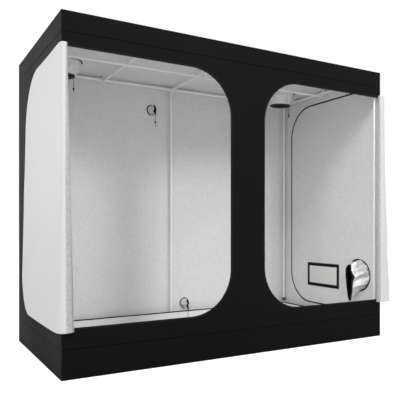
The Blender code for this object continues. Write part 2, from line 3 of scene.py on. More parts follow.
import bmesh
import bpy
import numpy as np
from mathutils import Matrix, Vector


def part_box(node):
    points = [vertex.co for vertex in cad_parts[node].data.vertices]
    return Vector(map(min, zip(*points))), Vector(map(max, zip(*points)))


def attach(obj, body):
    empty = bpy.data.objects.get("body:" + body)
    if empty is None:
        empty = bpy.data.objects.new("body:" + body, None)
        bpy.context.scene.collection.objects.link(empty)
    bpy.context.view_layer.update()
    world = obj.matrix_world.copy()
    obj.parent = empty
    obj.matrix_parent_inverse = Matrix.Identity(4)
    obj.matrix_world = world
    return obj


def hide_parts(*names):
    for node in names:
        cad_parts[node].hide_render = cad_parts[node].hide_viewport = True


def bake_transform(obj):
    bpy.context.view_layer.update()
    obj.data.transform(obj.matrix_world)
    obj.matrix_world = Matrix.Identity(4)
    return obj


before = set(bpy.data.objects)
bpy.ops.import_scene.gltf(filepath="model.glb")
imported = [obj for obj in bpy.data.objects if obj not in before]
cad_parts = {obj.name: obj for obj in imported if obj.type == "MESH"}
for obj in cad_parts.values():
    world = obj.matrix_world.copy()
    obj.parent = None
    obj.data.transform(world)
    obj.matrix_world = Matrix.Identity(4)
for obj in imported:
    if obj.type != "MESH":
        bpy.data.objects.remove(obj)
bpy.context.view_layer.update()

# The canopy's box, metres: doors towards -Y, floor at z = 0
canopy = {
    "low": np.array([-1.2, -0.5986, 0.0]),
    "high": np.array([1.2, 0.6014, 2.0]),
    "cloth": 0.0018,
    "edge": 0.0035,       # rounding of the sewn edges
    "sag": 0.0014,        # how far the cloth waves in and out
    "waveLength": 0.62,
    "stillBelow": 0.06,   # the waves fade below this height
    "seed": 3,
    "step": 0.03,         # between the points of a panel's outline
}
left, front, ground = canopy["low"]
right, rear, top = canopy["high"]
ways = {"left": -1, "right": 1}

# ---- shapes as numpy grids ----


def unit(v):
    return v / np.maximum(np.linalg.norm(v, axis=-1, keepdims=True), 1e-12)


def spread(*parts):
    # coordinates of one grid from rows, columns and numbers
    return np.stack(np.broadcast_arrays(*parts), -1)


def between(low, high, share):
    return low + (high - low) * share


def smoothStep(t):
    t = np.clip(t, 0, 1)
    return t * t * (3 - 2 * t)


def ridge(t):
    # a wave of straight slopes between -1 and 1, with slightly rounded creases
    return np.arcsin(0.97 * np.sin(t)) / np.arcsin(0.97)


def waves(points, length, seed):
    # the mean of sines along seeded random ways, each about one length long, about -1 to 1
    count = 7
    rng = np.random.default_rng(seed)
    along = unit(rng.normal(size=(count, points.shape[-1]))) * (2 * pi / length)
    along *= rng.uniform(0.6, 1.5, (count, 1))
    return np.sin(points @ along.T + rng.uniform(0, 2 * pi, count)).mean(-1) * 1.7


def turns(count):
    # even angles of one turn, without the last
    return np.linspace(0, 2 * pi, count, endpoint=False)


def runOf(points):
    # the length along a polyline up to each of its points
    return np.append(0, np.cumsum(np.linalg.norm(np.diff(points, axis=0), axis=1)))


def arc(centre, radius, startDeg, endDeg, steps):
    # points of a circle from one angle to another
    a = np.radians(np.linspace(startDeg, endDeg, steps + 1))
    return spread(centre[0] + radius * np.cos(a), centre[1] + radius * np.sin(a))


def circle(centre, radius, steps):
    return arc(centre, radius, 0, 360, steps)[:-1]


def alongLine(points, step, closed=False):
    # a polyline with its corners kept and no stretch longer than step
    points = np.asarray(points, float)
    if closed:
        points = np.vstack([points, points[:1]])
    run = runOf(points)
    even = np.linspace(0, run[-1], int(run[-1] / step) + 2)
    at = np.union1d(np.round(run, 7), np.round(even, 7))
    made = np.stack([np.interp(at, run, column) for column in points.T], -1)
    return made[:-1] if closed else made


def spline(points, count):
    # a Catmull-Rom curve through the points, the same number of steps for each stretch
    p = np.asarray(points, float)
    p = np.concatenate([2 * p[:1] - p[1:2], p, 2 * p[-1:] - p[-2:-1]])
    t = np.linspace(0, len(p) - 3 - 1e-9, count)
    i = t.astype(int)
    f = (t - i)[:, None]
    a, b, c, d = p[i], p[i + 1], p[i + 2], p[i + 3]
    return 0.5 * (2 * b + (c - a) * f + (2 * a - 5 * b + 4 * c - d) * f**2
                  + (3 * b - a - 3 * c + d) * f**3)


def gridShape(points, wrapRows=False, wrapColumns=False, uv=None, look=0):
    # quads between neighbours of a (rows, columns, 3) grid, a wrapped way joined to its start
    rows, columns = points.shape[:2]
    index = np.arange(rows * columns).reshape(rows, columns)
    if wrapRows:
        index = np.vstack([index, index[:1]])
    if wrapColumns:
        index = np.hstack([index, index[:, :1]])
    quads = spread(index[:-1, :-1], index[:-1, 1:], index[1:, 1:], index[1:, :-1])
    uv = points[..., :2] if uv is None else uv
    return {"points": points.reshape(-1, 3), "quads": quads.reshape(-1, 4),
            "uv": uv.reshape(-1, 2), "look": look}


def headings(path, closed):
    # at each point of a path: the way out of it, and the mean of the ways in and out
    before = np.roll(path, 1, 0) if closed else np.vstack([2 * path[0] - path[1], path[:-1]])
    after = np.roll(path, -1, 0) if closed else np.vstack([path[1:], 2 * path[-1] - path[-2]])
    leave = unit(after - path)
    return leave, unit(unit(path - before) + leave)


def tubeShape(path, profile, points, closed, look=0):
    # rings round a path as one grid, the ends of an open one drawn together to their middles
    uv = spread(runOf(path)[:, None], runOf(profile)[None])
    if not closed:
        ends = points.mean(1)
        first, last = (np.broadcast_to(ends[i], points[:1].shape) for i in (0, -1))
        points = np.concatenate([first, points, last])
        uv = np.concatenate([uv[:1], uv, uv[-1:]])
    return gridShape(points, closed, True, uv, look)


def sweep(path, profile, up, closed=False, size=1.0, look=0):
    # each profile point (a, b) stands a sideways and b upwards from its place on the path,
    # with mitred corners, and size widens or narrows the profile along the way
    path, up = np.asarray(path, float), np.asarray(up, float)
    leave, ahead = headings(path, closed)
    side = unit(np.cross(ahead, up))
    rise = np.cross(side, ahead)
    mitre = 1 / np.clip((ahead * leave).sum(-1), 0.35, 1)
    a = profile[None, :, 0] * (mitre * size)[:, None]
    b = profile[None, :, 1] * (np.ones(len(path)) * size)[:, None]
    points = path[:, None] + a[..., None] * side[:, None] + b[..., None] * rise[:, None]
    return tubeShape(path, profile, points, closed, look)


def ribbon(path, out, strip, closed=False):
    # a strip laid along a path on the cloth: each profile point (a, b) stands a across the
    # path and b out from the cloth
    out = np.broadcast_to(np.asarray(out, float), path.shape)
    side = unit(np.cross(headings(path, closed)[1], out))
    points = path[:, None] + strip[None, :, 0, None] * side[:, None]
    points = points + strip[None, :, 1, None] * out[:, None]
    return tubeShape(path, strip, points, closed)


def lathe(profile, origin, axis, sides=28, look=0):
    # a profile of (radius, height) turned about an axis through the origin
    profile = np.asarray(profile, float)
    axis = unit(np.asarray(axis, float))
    flat = unit(np.cross(axis, (0.3, 0.5, 0.8) if abs(axis[2]) < 0.9 else (1.0, 0.2, 0.0)))
    other = np.cross(axis, flat)
    a = turns(sides)
    ring = np.cos(a)[:, None] * flat + np.sin(a)[:, None] * other
    radius, height = profile.T[:, :, None, None]
    points = np.asarray(origin, float) + height * axis + radius * ring
    uv = spread(a[None] * profile[:, 0].max(), runOf(profile)[:, None])
    return gridShape(points, True, True, uv, look)


def pebble(centre, half, roundness=(0.5, 0.5), sides=20, look=0):
    # a block with round corners: signed powers of sines and cosines of two angles, scaled
    def power(v, e):
        return np.sign(v) * np.abs(v) ** e
    u = turns(sides)[None]
    v = np.linspace(-pi / 2, pi / 2, sides // 2 + 1)[:, None]
    e, n = roundness
    wide = power(np.cos(v), n)
    block = spread(wide * power(np.cos(u), e), wide * power(np.sin(u), e), power(np.sin(v), n))
    points = block * half + np.asarray(centre, float)
    return gridShape(points, False, True, points[..., [0, 2]], look)


def flatProfile(width, thickness):
    # a strip with rounded sides, lying from b = 0 upwards
    w, t, r = width / 2, thickness, thickness * 0.3
    return np.array([(-w + r, 0), (w - r, 0), (w, r), (w, t - r),
                     (w - r, t), (-w + r, t), (-w, t - r), (-w, r)])


def faced(shape, outwards):
    # the grid's winding turned so that its faces look along a vector, or away from a point
    corners = shape["points"][shape["quads"]]
    normals = np.cross(corners[:, 2] - corners[:, 0], corners[:, 3] - corners[:, 1])
    inside = isinstance(outwards, dict)
    away = corners.mean(1) - outwards["point"] if inside else np.asarray(outwards, float)
    if (normals * away).sum() < 0:
        shape["quads"] = shape["quads"][:, ::-1]
    return shape


creaseDeg = 40    # edges between faces that differ by more are sharp


def build(name, shapes, looks, outwards=None, weld=0.00002):
    # one mesh from several grids, with poles and seams welded and faces turned outwards
    shapes = shapes if isinstance(shapes, list) else [shapes]
    if outwards is not None:
        shapes = [faced(s, outwards) for s in shapes]
    starts = np.cumsum([0] + [len(s["points"]) for s in shapes])
    points, uv = (np.concatenate([s[key] for s in shapes]) for key in ("points", "uv"))
    quads = np.concatenate([s["quads"] + start for s, start in zip(shapes, starts)])
    look = np.concatenate([np.full(len(s["quads"]), s["look"], np.int32) for s in shapes])
    mesh = bpy.data.meshes.new(name)
    mesh.from_pydata(points.tolist(), [], quads.tolist())
    layer = mesh.uv_layers.new(name="cloth")
    layer.data.foreach_set("uv", uv[quads.ravel()].ravel().astype(np.float32))
    mesh.polygons.foreach_set("material_index", look)
    for material in looks:
        mesh.materials.append(material)
    work = bmesh.new()
    work.from_mesh(mesh)
    bmesh.ops.remove_doubles(work, verts=work.verts, dist=weld)
    bmesh.ops.dissolve_degenerate(work, dist=weld / 4, edges=work.edges)
    if outwards is None:
        bmesh.ops.recalc_face_normals(work, faces=work.faces)
    work.to_mesh(mesh)
    work.free()
    mesh.shade_smooth()
    mesh.set_sharp_from_angle(angle=radians(creaseDeg))
    # open borders are sharp too, so that a thickened sheet keeps crisp rims
    edgeOf, sharp = np.empty(len(mesh.loops), np.int32), np.empty(len(mesh.edges), bool)
    mesh.loops.foreach_get("edge_index", edgeOf)
    mesh.edges.foreach_get("use_edge_sharp", sharp)
    lone = np.bincount(edgeOf, minlength=len(sharp)) == 1
    mesh.edges.foreach_set("use_edge_sharp", sharp | lone)
    made = bpy.data.objects.new(name, mesh)
    bpy.context.scene.collection.objects.link(made)
    return made


def thicken(piece, thickness, inner=1, offset=-1):
    # a wall on the inner side of an open sheet, its inner face in the next material
    wall = piece.modifiers.new("wall", "SOLIDIFY")
    wall.thickness, wall.offset, wall.material_offset = thickness, offset, inner
    wall.use_even_offset = False


def stand(piece, body, slotName, *nodes):
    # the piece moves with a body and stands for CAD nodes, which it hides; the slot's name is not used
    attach(piece, body)
    if nodes:
        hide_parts(*nodes)


def makePiece(name, shapes, look, slotName, *nodes, body="tent"):
    # a piece in one look
    piece = build(name, shapes, [looks[look]])
    stand(piece, body, slotName, *nodes)
    return piece


def camel(node):
    first, *others = node.split("_")
    return first + "".join(word.capitalize() for word in others)


def boxOf(node):
    return (np.array(v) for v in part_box(node))


# ---- shader node groups ----


def put(tree, kind, inputs=(), **settings):
    # a node with its settings, and its inputs given as values or as sockets to link from
    made = tree.nodes.new(kind)
    for key, value in settings.items():
        setattr(made, key, value)
    for key, value in dict(inputs).items():
        if isinstance(value, bpy.types.NodeSocket):
            tree.links.new(value, made.inputs[key])
        else:
            made.inputs[key].default_value = value
    return made


def newGroup(name, numbers, outputs):
    # a group with a Vector, number inputs with their defaults, and number outputs
    tree = bpy.data.node_groups.new(name, "ShaderNodeTree")
    tree.interface.new_socket(name="Vector", in_out="INPUT", socket_type="NodeSocketVector")
    for label, value in numbers.items():
        made = tree.interface.new_socket(name=label, in_out="INPUT", socket_type="NodeSocketFloat")
        made.default_value = value
    for label in outputs:
        tree.interface.new_socket(name=label, in_out="OUTPUT", socket_type="NodeSocketFloat")
    return tree, tree.nodes.new("NodeGroupInput").outputs, tree.nodes.new("NodeGroupOutput").inputs


def mathNode(tree, operation, a, b=0.0, c=0.0, clamp=False):
    return put(tree, "ShaderNodeMath", {0: a, 1: b, 2: c}, operation=operation, use_clamp=clamp).outputs[0]


def rampOf(tree, value, low, high, outLow=0.0, outHigh=1.0):
    limits = {"From Min": low, "From Max": high, "To Min": outLow, "To Max": outHigh}
    return put(tree, "ShaderNodeMapRange", {"Value": value, **limits}).outputs["Result"]


def rgba(colour):
    # a grey given as one number, or a colour of three; a socket stays as it is
    if isinstance(colour, bpy.types.NodeSocket):
        return colour
    return (colour, colour, colour, 1) if isinstance(colour, float) else (*colour, 1)


def mixColours(tree, factor, a, b):
    return put(tree, "ShaderNodeMix", {0: factor, 6: rgba(a), 7: rgba(b)}, data_type="RGBA").outputs[2]


def noiseNode(tree, vector, scale, detail, **more):
    return put(tree, "ShaderNodeTexNoise", {"Vector": vector, "Scale": scale, "Detail": detail, **more})


def grainOf(tree, place, size, fine, share):
    return fromGroup(tree, "mottle", Vector=place, Size=size, Fine=fine, Share=share)["Value"]


def weaveGroup():
    # plain weave: the product of two sines, one for each way of the threads, softened by noise
    tree, start, end = newGroup("weave", {"Threads": 900.0, "Slub": 0.25}, ("Height", "Mask"))
    split = put(tree, "ShaderNodeSeparateXYZ", {0: start["Vector"]}).outputs
    rate = mathNode(tree, "MULTIPLY", start["Threads"], pi)
    across, along = (mathNode(tree, "SINE", mathNode(tree, "MULTIPLY", split[i], rate)) for i in (0, 1))
    cross = mathNode(tree, "MULTIPLY_ADD", mathNode(tree, "MULTIPLY", across, along), 0.5, 0.5)
    noise = noiseNode(tree, start["Vector"], 160.0, 3.0).outputs["Fac"]
    slub = mathNode(tree, "MULTIPLY", noise, start["Slub"])
    tree.links.new(mathNode(tree, "ADD", cross, slub), end["Height"])
    tree.links.new(mathNode(tree, "MULTIPLY", cross, noise), end["Mask"])
    return tree


def mottleGroup():
    # two sizes of noise mixed, for uneven colour and roughness
    tree, start, end = newGroup("mottle", {"Size": 3.0, "Fine": 60.0, "Share": 0.35}, ("Value",))
    coarse = noiseNode(tree, start["Vector"], start["Size"], 4.0).outputs["Fac"]
    fine = noiseNode(tree, start["Vector"], start["Fine"], 3.0, Roughness=0.65).outputs["Fac"]
    mixed = put(tree, "ShaderNodeMix", {0: start["Share"], 2: coarse, 3: fine}).outputs[0]
    tree.links.new(mixed, end["Value"])
    return tree


def stitchGroup():
    # a row of stitches: dashes along U, within half a thread of the line V = Row
    numbers = {"Row": 0.003, "Pitch": 0.004, "Thread": 0.0006}
    tree, start, end = newGroup("stitches", numbers, ("Mask",))
    split = put(tree, "ShaderNodeSeparateXYZ", {0: start["Vector"]}).outputs
    off = mathNode(tree, "ABSOLUTE", mathNode(tree, "SUBTRACT", split[1], start["Row"]))
    near = mathNode(tree, "LESS_THAN", off, start["Thread"])
    beat = mathNode(tree, "FRACT", mathNode(tree, "DIVIDE", split[0], start["Pitch"]))
    dash = mathNode(tree, "LESS_THAN", beat, 0.68)
    tree.links.new(mathNode(tree, "MULTIPLY", near, dash), end["Mask"])
    return tree


def crinkleGroup():
    # foil that has been folded: cell edges of two sizes, bent by noise
    tree, start, end = newGroup("crinkle", {"Size": 18.0, "Fine": 90.0}, ("Height",))
    noise = noiseNode(tree, start["Vector"], start["Size"], 3.0, Distortion=0.6).outputs["Color"]
    push = put(tree, "ShaderNodeVectorMath", {0: noise, 1: (0.02, 0.02, 0.02)}, operation="MULTIPLY")
    bent = put(tree, "ShaderNodeVectorMath", {0: start["Vector"], 1: push.outputs[0]}, operation="ADD")
    large, small = (put(tree, "ShaderNodeTexVoronoi", {"Vector": bent.outputs[0], "Scale": start[scale]},
                        feature=kind) for scale, kind in (("Size", "SMOOTH_F1"), ("Fine", "F1")))
    height = mathNode(tree, "MULTIPLY_ADD", small.outputs["Distance"], 0.3, large.outputs["Distance"])
    tree.links.new(height, end["Height"])
    return tree


groups = {"weave": weaveGroup(), "mottle": mottleGroup(), "stitches": stitchGroup(), "crinkle": crinkleGroup()}


def fromGroup(tree, name, **inputs):
    return put(tree, "ShaderNodeGroup", inputs, node_tree=groups[name]).outputs


# ---- materials ----


def material(name, colour, roughness, metallic=0.0, specular=0.5, sheen=0.0):
    # a material with its constants set, and the places that its textures read
    made = bpy.data.materials.new(name)
    made.use_nodes = True
    tree = made.node_tree
    shader = tree.nodes["Principled BSDF"]
    for label, value in (("Base Color", rgba(colour)), ("Roughness", roughness), ("Metallic", metallic),
                         ("Specular IOR Level", specular), ("Sheen Weight", sheen)):
        shader.inputs[label].default_value = value
    place = tree.nodes.new("ShaderNodeTexCoord").outputs
    return made, tree, shader, place["Object"], place["UV"]


def finish(tree, shader, colour, uneven, rough, height, strength, distance):
    # colour and bump, and roughness between two values as the mottling goes
    tree.links.new(colour, shader.inputs["Base Color"])
    if uneven:
        tree.links.new(rampOf(tree, uneven, 0.3, 0.7, *rough), shader.inputs["Roughness"])
    bump = put(tree, "ShaderNodeBump", {"Height": height, "Strength": strength, "Distance": distance})
    tree.links.new(bump.outputs[0], shader.inputs["Normal"])


def wovenMaterial(name, dark, light, roughness, threads, strength, specular=0.5, sheen=0.0, mottle=3.0,
                  stitchRows=()):
    # cloth: weave bump, mottled colour and roughness, and rows of stitches where a strip has them
    made, tree, shader, spot, uv = material(name, light, roughness, 0.0, specular, sheen)
    uneven = grainOf(tree, spot, mottle, mottle * 30, 0.4)
    weave = fromGroup(tree, "weave", Vector=uv, Threads=threads)
    factor = mathNode(tree, "MULTIPLY_ADD", weave["Mask"], 0.35, rampOf(tree, uneven, 0.3, 0.7), clamp=True)
    colour = mixColours(tree, factor, dark, light)
    height = weave["Height"]
    for row in stitchRows:
        mask = fromGroup(tree, "stitches", Vector=uv, Row=row)["Mask"]
        colour = mixColours(tree, mask, colour, 0.02)
        height = mathNode(tree, "MULTIPLY_ADD", mask, 2.5, height)
    finish(tree, shader, colour, uneven, (roughness - 0.07, roughness + 0.08), height, strength, 0.0006)
    return made


def foilMaterial(name, dark, light, roughness, metallic, size, fine, strength):
    # reflective lining: crinkled bump with a speckle of lighter and darker grains
    made, tree, shader, spot, uv = material(name, light, roughness, metallic)
    crinkle = fromGroup(tree, "crinkle", Vector=spot, Size=size, Fine=fine)["Height"]
    uneven = grainOf(tree, spot, 1.8, fine * 1.3, 0.5)
    grain = grainOf(tree, spot, fine * 0.9, fine * 2.4, 0.4)
    broad = mathNode(tree, "MULTIPLY", rampOf(tree, uneven, 0.32, 0.68), 0.4)
    factor = mathNode(tree, "MULTIPLY_ADD", rampOf(tree, grain, 0.38, 0.62), 0.6, broad, clamp=True)
    colour = mixColours(tree, factor, dark, light)
    finish(tree, shader, colour, uneven, (roughness - 0.06, roughness + 0.1), crinkle, strength, 0.002)
    return made


def coatedMetal(name, dark, light, roughness, metallic=0.0, grain=350.0, strength=0.12):
    # powder coat: a fine pebbled bump, slightly uneven gloss and colour
    made, tree, shader, spot, uv = material(name, light, roughness, metallic)
    uneven = grainOf(tree, spot, 6.0, grain, 0.5)
    colour = mixColours(tree, rampOf(tree, uneven, 0.3, 0.7), dark, light)
    finish(tree, shader, colour, uneven, (roughness - 0.08, roughness + 0.1), uneven, strength, 0.0004)
    return made


def bandMask(tree, value, low, high, soft=0.0012):
    # 1 between two values, with soft ends
    rise = rampOf(tree, value, low - soft, low + soft)
    return mathNode(tree, "SUBTRACT", rise, rampOf(tree, value, high - soft, high + soft), clamp=True)


def doorMaterial(name, hem):
    # satin lining with a faint cross weave and soft mottling. By U, the hem has a grainy silver
    # stripe and a band of painted shade inside it, and the door has a faint sewn line
    made, tree, shader, spot, uv = material(name, 0.80, 0.45, 0.0, 0.45)
    uneven = grainOf(tree, spot, 1.6, 120.0, 0.3)
    colour = mixColours(tree, rampOf(tree, uneven, 0.3, 0.7), 0.575, 0.62)
    across = put(tree, "ShaderNodeSeparateXYZ", {0: uv}).outputs[0]
    if hem:
        speckle = grainOf(tree, spot, 60.0, 190.0, 0.6)
        grainy = mixColours(tree, rampOf(tree, speckle, 0.38, 0.62), 0.34, 0.50)
        colour = mixColours(tree, bandMask(tree, across, -0.036, -0.001, 0.0025), colour, grainy)
        # a band of painted shade inside the grainy stripe, for the shadow at the hem's edge
        colour = mixColours(tree, bandMask(tree, across, -0.052, -0.036, 0.003), colour, 0.30)
    else:
        line = mathNode(tree, "MULTIPLY", bandMask(tree, across, 0.052, 0.0545), 0.3)
        colour = mixColours(tree, line, colour, 0.5)
    weave = fromGroup(tree, "weave", Vector=uv, Threads=620.0)["Height"]
    height = mathNode(tree, "MULTIPLY_ADD", uneven, 0.6, weave)
    finish(tree, shader, colour, uneven, (0.38, 0.52), height, 0.12, 0.0005)
    return made


def meshMaterial():
    # vent mesh: a fine square net, darker in its holes, on a warm grey
    made, tree, shader, spot, uv = material("ventMesh", (0.70, 0.695, 0.68), 0.7, 0.0, 0.3)
    net = fromGroup(tree, "weave", Vector=uv, Threads=330.0, Slub=0.1)["Height"]
    colour = mixColours(tree, rampOf(tree, net, 0.2, 0.8), (0.76, 0.755, 0.745), (0.88, 0.875, 0.865))
    finish(tree, shader, colour, None, None, net, 0.6, 0.0008)
    return made


looks = {
    "shell": wovenMaterial("shellCloth", (0.0022, 0.0022, 0.0023), (0.0036, 0.0036, 0.0037), 0.60, 420.0, 0.25,
                           specular=0.078, mottle=2.2),
    "lining": foilMaterial("silverLining", 0.70, 0.90, 0.50, 0.0, 30.0, 95.0, 0.18),
    "tray": foilMaterial("trayCloth", 0.78, 0.90, 0.45, 0.0, 16.0, 80.0, 0.2),
    "foil": foilMaterial("sleeveFoil", 0.70, 0.88, 0.32, 0.20, 26.0, 90.0, 0.20),
    "brightFoil": foilMaterial("brightFoil", 0.80, 0.92, 0.26, 0.60, 14.0, 34.0, 0.05),
    # the seams' cloth is darker than the shell's: painted shade, for the shadow under the seam's overlap
    "seam": wovenMaterial("seamClothPaintedShade", 0.0006, 0.0012, 0.7, 700.0, 0.3, specular=0.02, sheen=0.05),
    "tape": wovenMaterial("blackTape", 0.004, 0.008, 0.75, 700.0, 0.5, specular=0.2, stitchRows=(0.0022,)),
    # the ceiling ducts' hems are black tape; this lighter grey is painted light, where the lamps fall on them
    "hemPaintedLight": wovenMaterial("hemPaintedLight", (0.014, 0.014, 0.015), (0.052, 0.052, 0.053), 0.55, 300.0, 0.5,
                             specular=0.3, mottle=90.0),
    "binding": wovenMaterial("blackBinding", 0.005, 0.009, 0.7, 700.0, 0.5, specular=0.2),
    "cord": wovenMaterial("cordBraid", 0.004, 0.010, 0.8, 1100.0, 0.8, specular=0.2, mottle=40.0),
    "steel": coatedMetal("whiteSteel", 0.95, 0.98, 0.28),
    "socket": coatedMetal("connectorSteel", 0.86, 0.92, 0.38),
    "plastic": coatedMetal("blackPlastic", 0.008, 0.013, 0.42, grain=500.0, strength=0.2),
    "metal": coatedMetal("darkMetal", 0.02, 0.045, 0.32, 0.85, grain=300.0),
    "snap": coatedMetal("snapSteel", 0.5, 0.7, 0.3, 0.8),
    "door": doorMaterial("doorLining", False),
    "hem": doorMaterial("hemLining", True),
    "mesh": meshMaterial(),
}
print("materials made")

# ---- camera and cords ----

view = {"place": (-1.9494, -3.5635, 0.8341), "turn": 0.5376, "lens": 49.14, "shift": (-0.0607, 0.0651)}
camera = bpy.data.objects.new("camera", bpy.data.cameras.new("camera"))
camera.location = view["place"]
camera.rotation_euler = (pi / 2, 0, -view["turn"])
camera.data.lens, camera.data.sensor_width = view["lens"], 36
camera.data.shift_x, camera.data.shift_y = view["shift"]
camera.data.clip_start = 0.05
bpy.context.scene.collection.objects.link(camera)
bpy.context.scene.camera = camera

cord = {"radius": 0.0015, "points": 22, "knot": 0.0028}
cordSway = {"left_ceiling_duct": 0.0012, "right_ceiling_duct": 0.0014, "side_duct": 0.0012,
            "upper_cable": 0.0010, "lower_cable": 0.0008}
lockRadius = 0.0065


def makeCord(name, swayBy):
    # a cord that hangs from its hem with a slight sway that fades at both ends, with a knot,
    # and its lock, turned from a profile with two grooves
    low, high = boxOf(f"{name}_cord")
    length = high[2] - low[2]
    t = np.linspace(0, 1, cord["points"])
    middle = (low + high) / 2
    sway = swayBy * np.sin(t * pi) * np.sin(t * 2 * pi + 1)
    path = spread(middle[0] + sway, middle[1] + 0.6 * sway, high[2] - length * t)
    body = sweep(path, circle((0, 0), cord["radius"], 12), (0, 1, 0))
    knot = pebble(path[-1] + (0, 0, 0.002), (cord["knot"],) * 3, (1, 1), 14)
    piece = makePiece(f"{camel(name)}Cord", [body, knot], "cord", "black_cord", f"{name}_cord")
    low, high = boxOf(f"{name}_toggle")
    half, r = (high[2] - low[2]) / 2, lockRadius
    profile = [(0.0021, -half), (0.0045, -half), (0.0058, -half + 0.0006), (r, -half + 0.002),
               (r, -0.0026), (0.0058, -0.0020), (0.0058, 0.0002), (r, 0.0008), (r, 0.0038),
               (0.0056, 0.0046), (0.0046, 0.0048), (0.0046, half - 0.0014), (0.0040, half - 0.0003),
               (0.0032, half), (0.0021, half)]
    place = (path[0][0], path[0][1], (low[2] + high[2]) / 2)
    node = f"{name}_toggle"
    turned = lathe(profile, place, (0, 0, 1), 24)
    lock = makePiece(camel(node), turned, "plastic", "black_plastic", node, body=node)


for name, swayBy in cordSway.items():
    makeCord(name, swayBy)
print("camera and cords made")

# ---- canopy ----


def soften(points, out=0.0):
    # a point of the box's surface, on rounded edges and moved in or out by the cloth's waves,
    # which fade towards the floor, and then moved out by a set amount (in, if negative)
    edge = canopy["edge"]
    core = np.clip(points, canopy["low"] + edge, canopy["high"] - edge)
    away = unit(points - core)
    fade = smoothStep(points[..., 2] / canopy["stillBelow"])
    swell = canopy["sag"] * waves(points, canopy["waveLength"], canopy["seed"]) * fade
    return core + away * (edge + swell + out)[..., None]


def ringCell(outer, hole, centre, rows, corners=()):
    # a grid between a hole and the outline round it, on rays from a centre inside the hole
    centre = np.asarray(centre, float)

    def polar(points):
        d = points - centre
        a, r = np.arctan2(d[:, 1], d[:, 0]), np.hypot(d[:, 0], d[:, 1])
        order = np.argsort(a)
        return a[order], r[order]

    fine = polar(alongLine(outer, 0.006, True))
    rim = polar(alongLine(hole, 0.003, True))
    extra = polar(np.asarray(corners, float).reshape(-1, 2))[0]
    a = np.unique(np.round(np.concatenate([polar(outer)[0], extra]), 7))
    ray = spread(np.cos(a), np.sin(a))
    inner, outline = (centre + ray * np.interp(a, *edge, period=2 * pi)[:, None] for edge in (rim, fine))
    return between(inner, outline, np.linspace(0, 1, rows + 1)[:, None, None])


def rectangle(low, high, step):
    # each side cut evenly by itself, so that two rectangles share the points of their common side
    x, y = (np.linspace(low[i], high[i], int(abs(high[i] - low[i]) / step) + 2) for i in (0, 1))
    sides = [(x[:-1], low[1]), (high[0], y[:-1]), (x[:0:-1], high[1]), (low[0], y[:0:-1])]
    return np.vstack([spread(*side) for side in sides])


def bayOutline(hinge, free, bottom, topEdge, radius, grow=0.0, steps=20):
    # along the bottom from the hinge, round the free side and back along the top
    way = 1 if free > hinge else -1
    reach, bottom, topEdge, radius = abs(free - hinge) + grow, bottom - grow, topEdge + grow, radius + grow
    low = arc((reach - radius, bottom + radius), radius, -90, 0, steps)
    high = arc((reach - radius, topEdge - radius), radius, 0, 90, steps)
    path = np.vstack([[(0, bottom)], low, high, [(0, topEdge)]])
    return spread(hinge + way * path[:, 0], path[:, 1])


def wallAt(axis, place):
    # lifts flat points onto the wall where one coordinate has a set value
    def lift(flat):
        return np.insert(flat, axis, place, -1)
    return lift


onFront, onRear = wallAt(1, front), wallAt(1, rear)
onLeft, onRight = wallAt(0, left), wallAt(0, right)
onRoof, onFloor = wallAt(2, top), wallAt(2, ground)

doorway = {"hinge": 1.176, "free": 0.132, "bottom": 0.280, "topEdge": 1.806, "radius": 0.280}
sideDoor = {"hinge": -0.5766, "free": 0.4934, "bottom": 0.155, "topEdge": 1.908, "radius": 0.270}
sideZipGap = 0.012
ducts = {"left": (-0.95, 0.3314), "right": (0.95, 0.3314), "radius": 0.122}
sideDuct = {"centre": (-0.3736, 0.443), "radius": 0.122}
cables = {"upper": (-0.165, 1.787), "lower": (0.135, 0.184), "radius": 0.042}
vent = {"low": (-0.1496, 0.309), "high": (0.2534, 0.513), "border": 0.028}
doorwayLine = {side: bayOutline(**doorway) * (way, 1) for side, way in ways.items()}


def sewnPanel(node, cells, lift, outwards, wrap=True, weld=0.00002):
    # cloth with its lining inside, from grids lifted onto a wall, each wrapped round its hole
    shapes = [gridShape(soften(lift(cell)), False, wrap, cell) for cell in cells]
    piece = build(camel(node), shapes, [looks["shell"], looks["lining"]], outwards, weld=weld)
    thicken(piece, canopy["cloth"])
    stand(piece, "tent", "black_cloth", node)


def twoCells(holes, centres, low, high, step, rows, corners=((), ())):
    # the left and right halves of a wall, one round each hole, that meet at x = 0
    sides = ((left, 0), (0, right))
    return [ringCell(rectangle((a, low), (b, high), step), hole, centre, rows, corner)
            for (a, b), hole, centre, corner in zip(sides, holes, centres, corners)]


def plainCell(a, b):
    u, v = (np.linspace(*w, int(abs(w[1] - w[0]) / canopy["step"]) + 1) for w in (a, b))
    return np.stack(np.meshgrid(u, v), -1)


def makeFront():
    holes = [doorwayLine[side] for side in ways]
    centres = [(way * 0.64, 1.043) for way in ways.values()]
    cells = twoCells(holes, centres, 0, top, 0.04, 10, [hole[[0, -1]] for hole in holes])
    sewnPanel("front_panel", cells, onFront, (0, -1, 0), weld=0.0004)


def makeRear():
    centres = [cables["upper"], cables["lower"]]
    holes = [circle(port, cables["radius"] - 0.002, 48) for port in centres]
    cells = twoCells(holes, centres, 0, top, canopy["step"], 24)
    sewnPanel("rear_panel", cells, onRear, (0, 1, 0), weld=0.0004)


def makeRoof():
    centres = [ducts[side] for side in ways]
    holes = [circle(port, ducts["radius"], 64) for port in centres]
    cells = twoCells(holes, centres, front, rear, canopy["step"], 16)
    sewnPanel("roof_panel", cells, onRoof, (0, 0, 1), weld=0.0004)


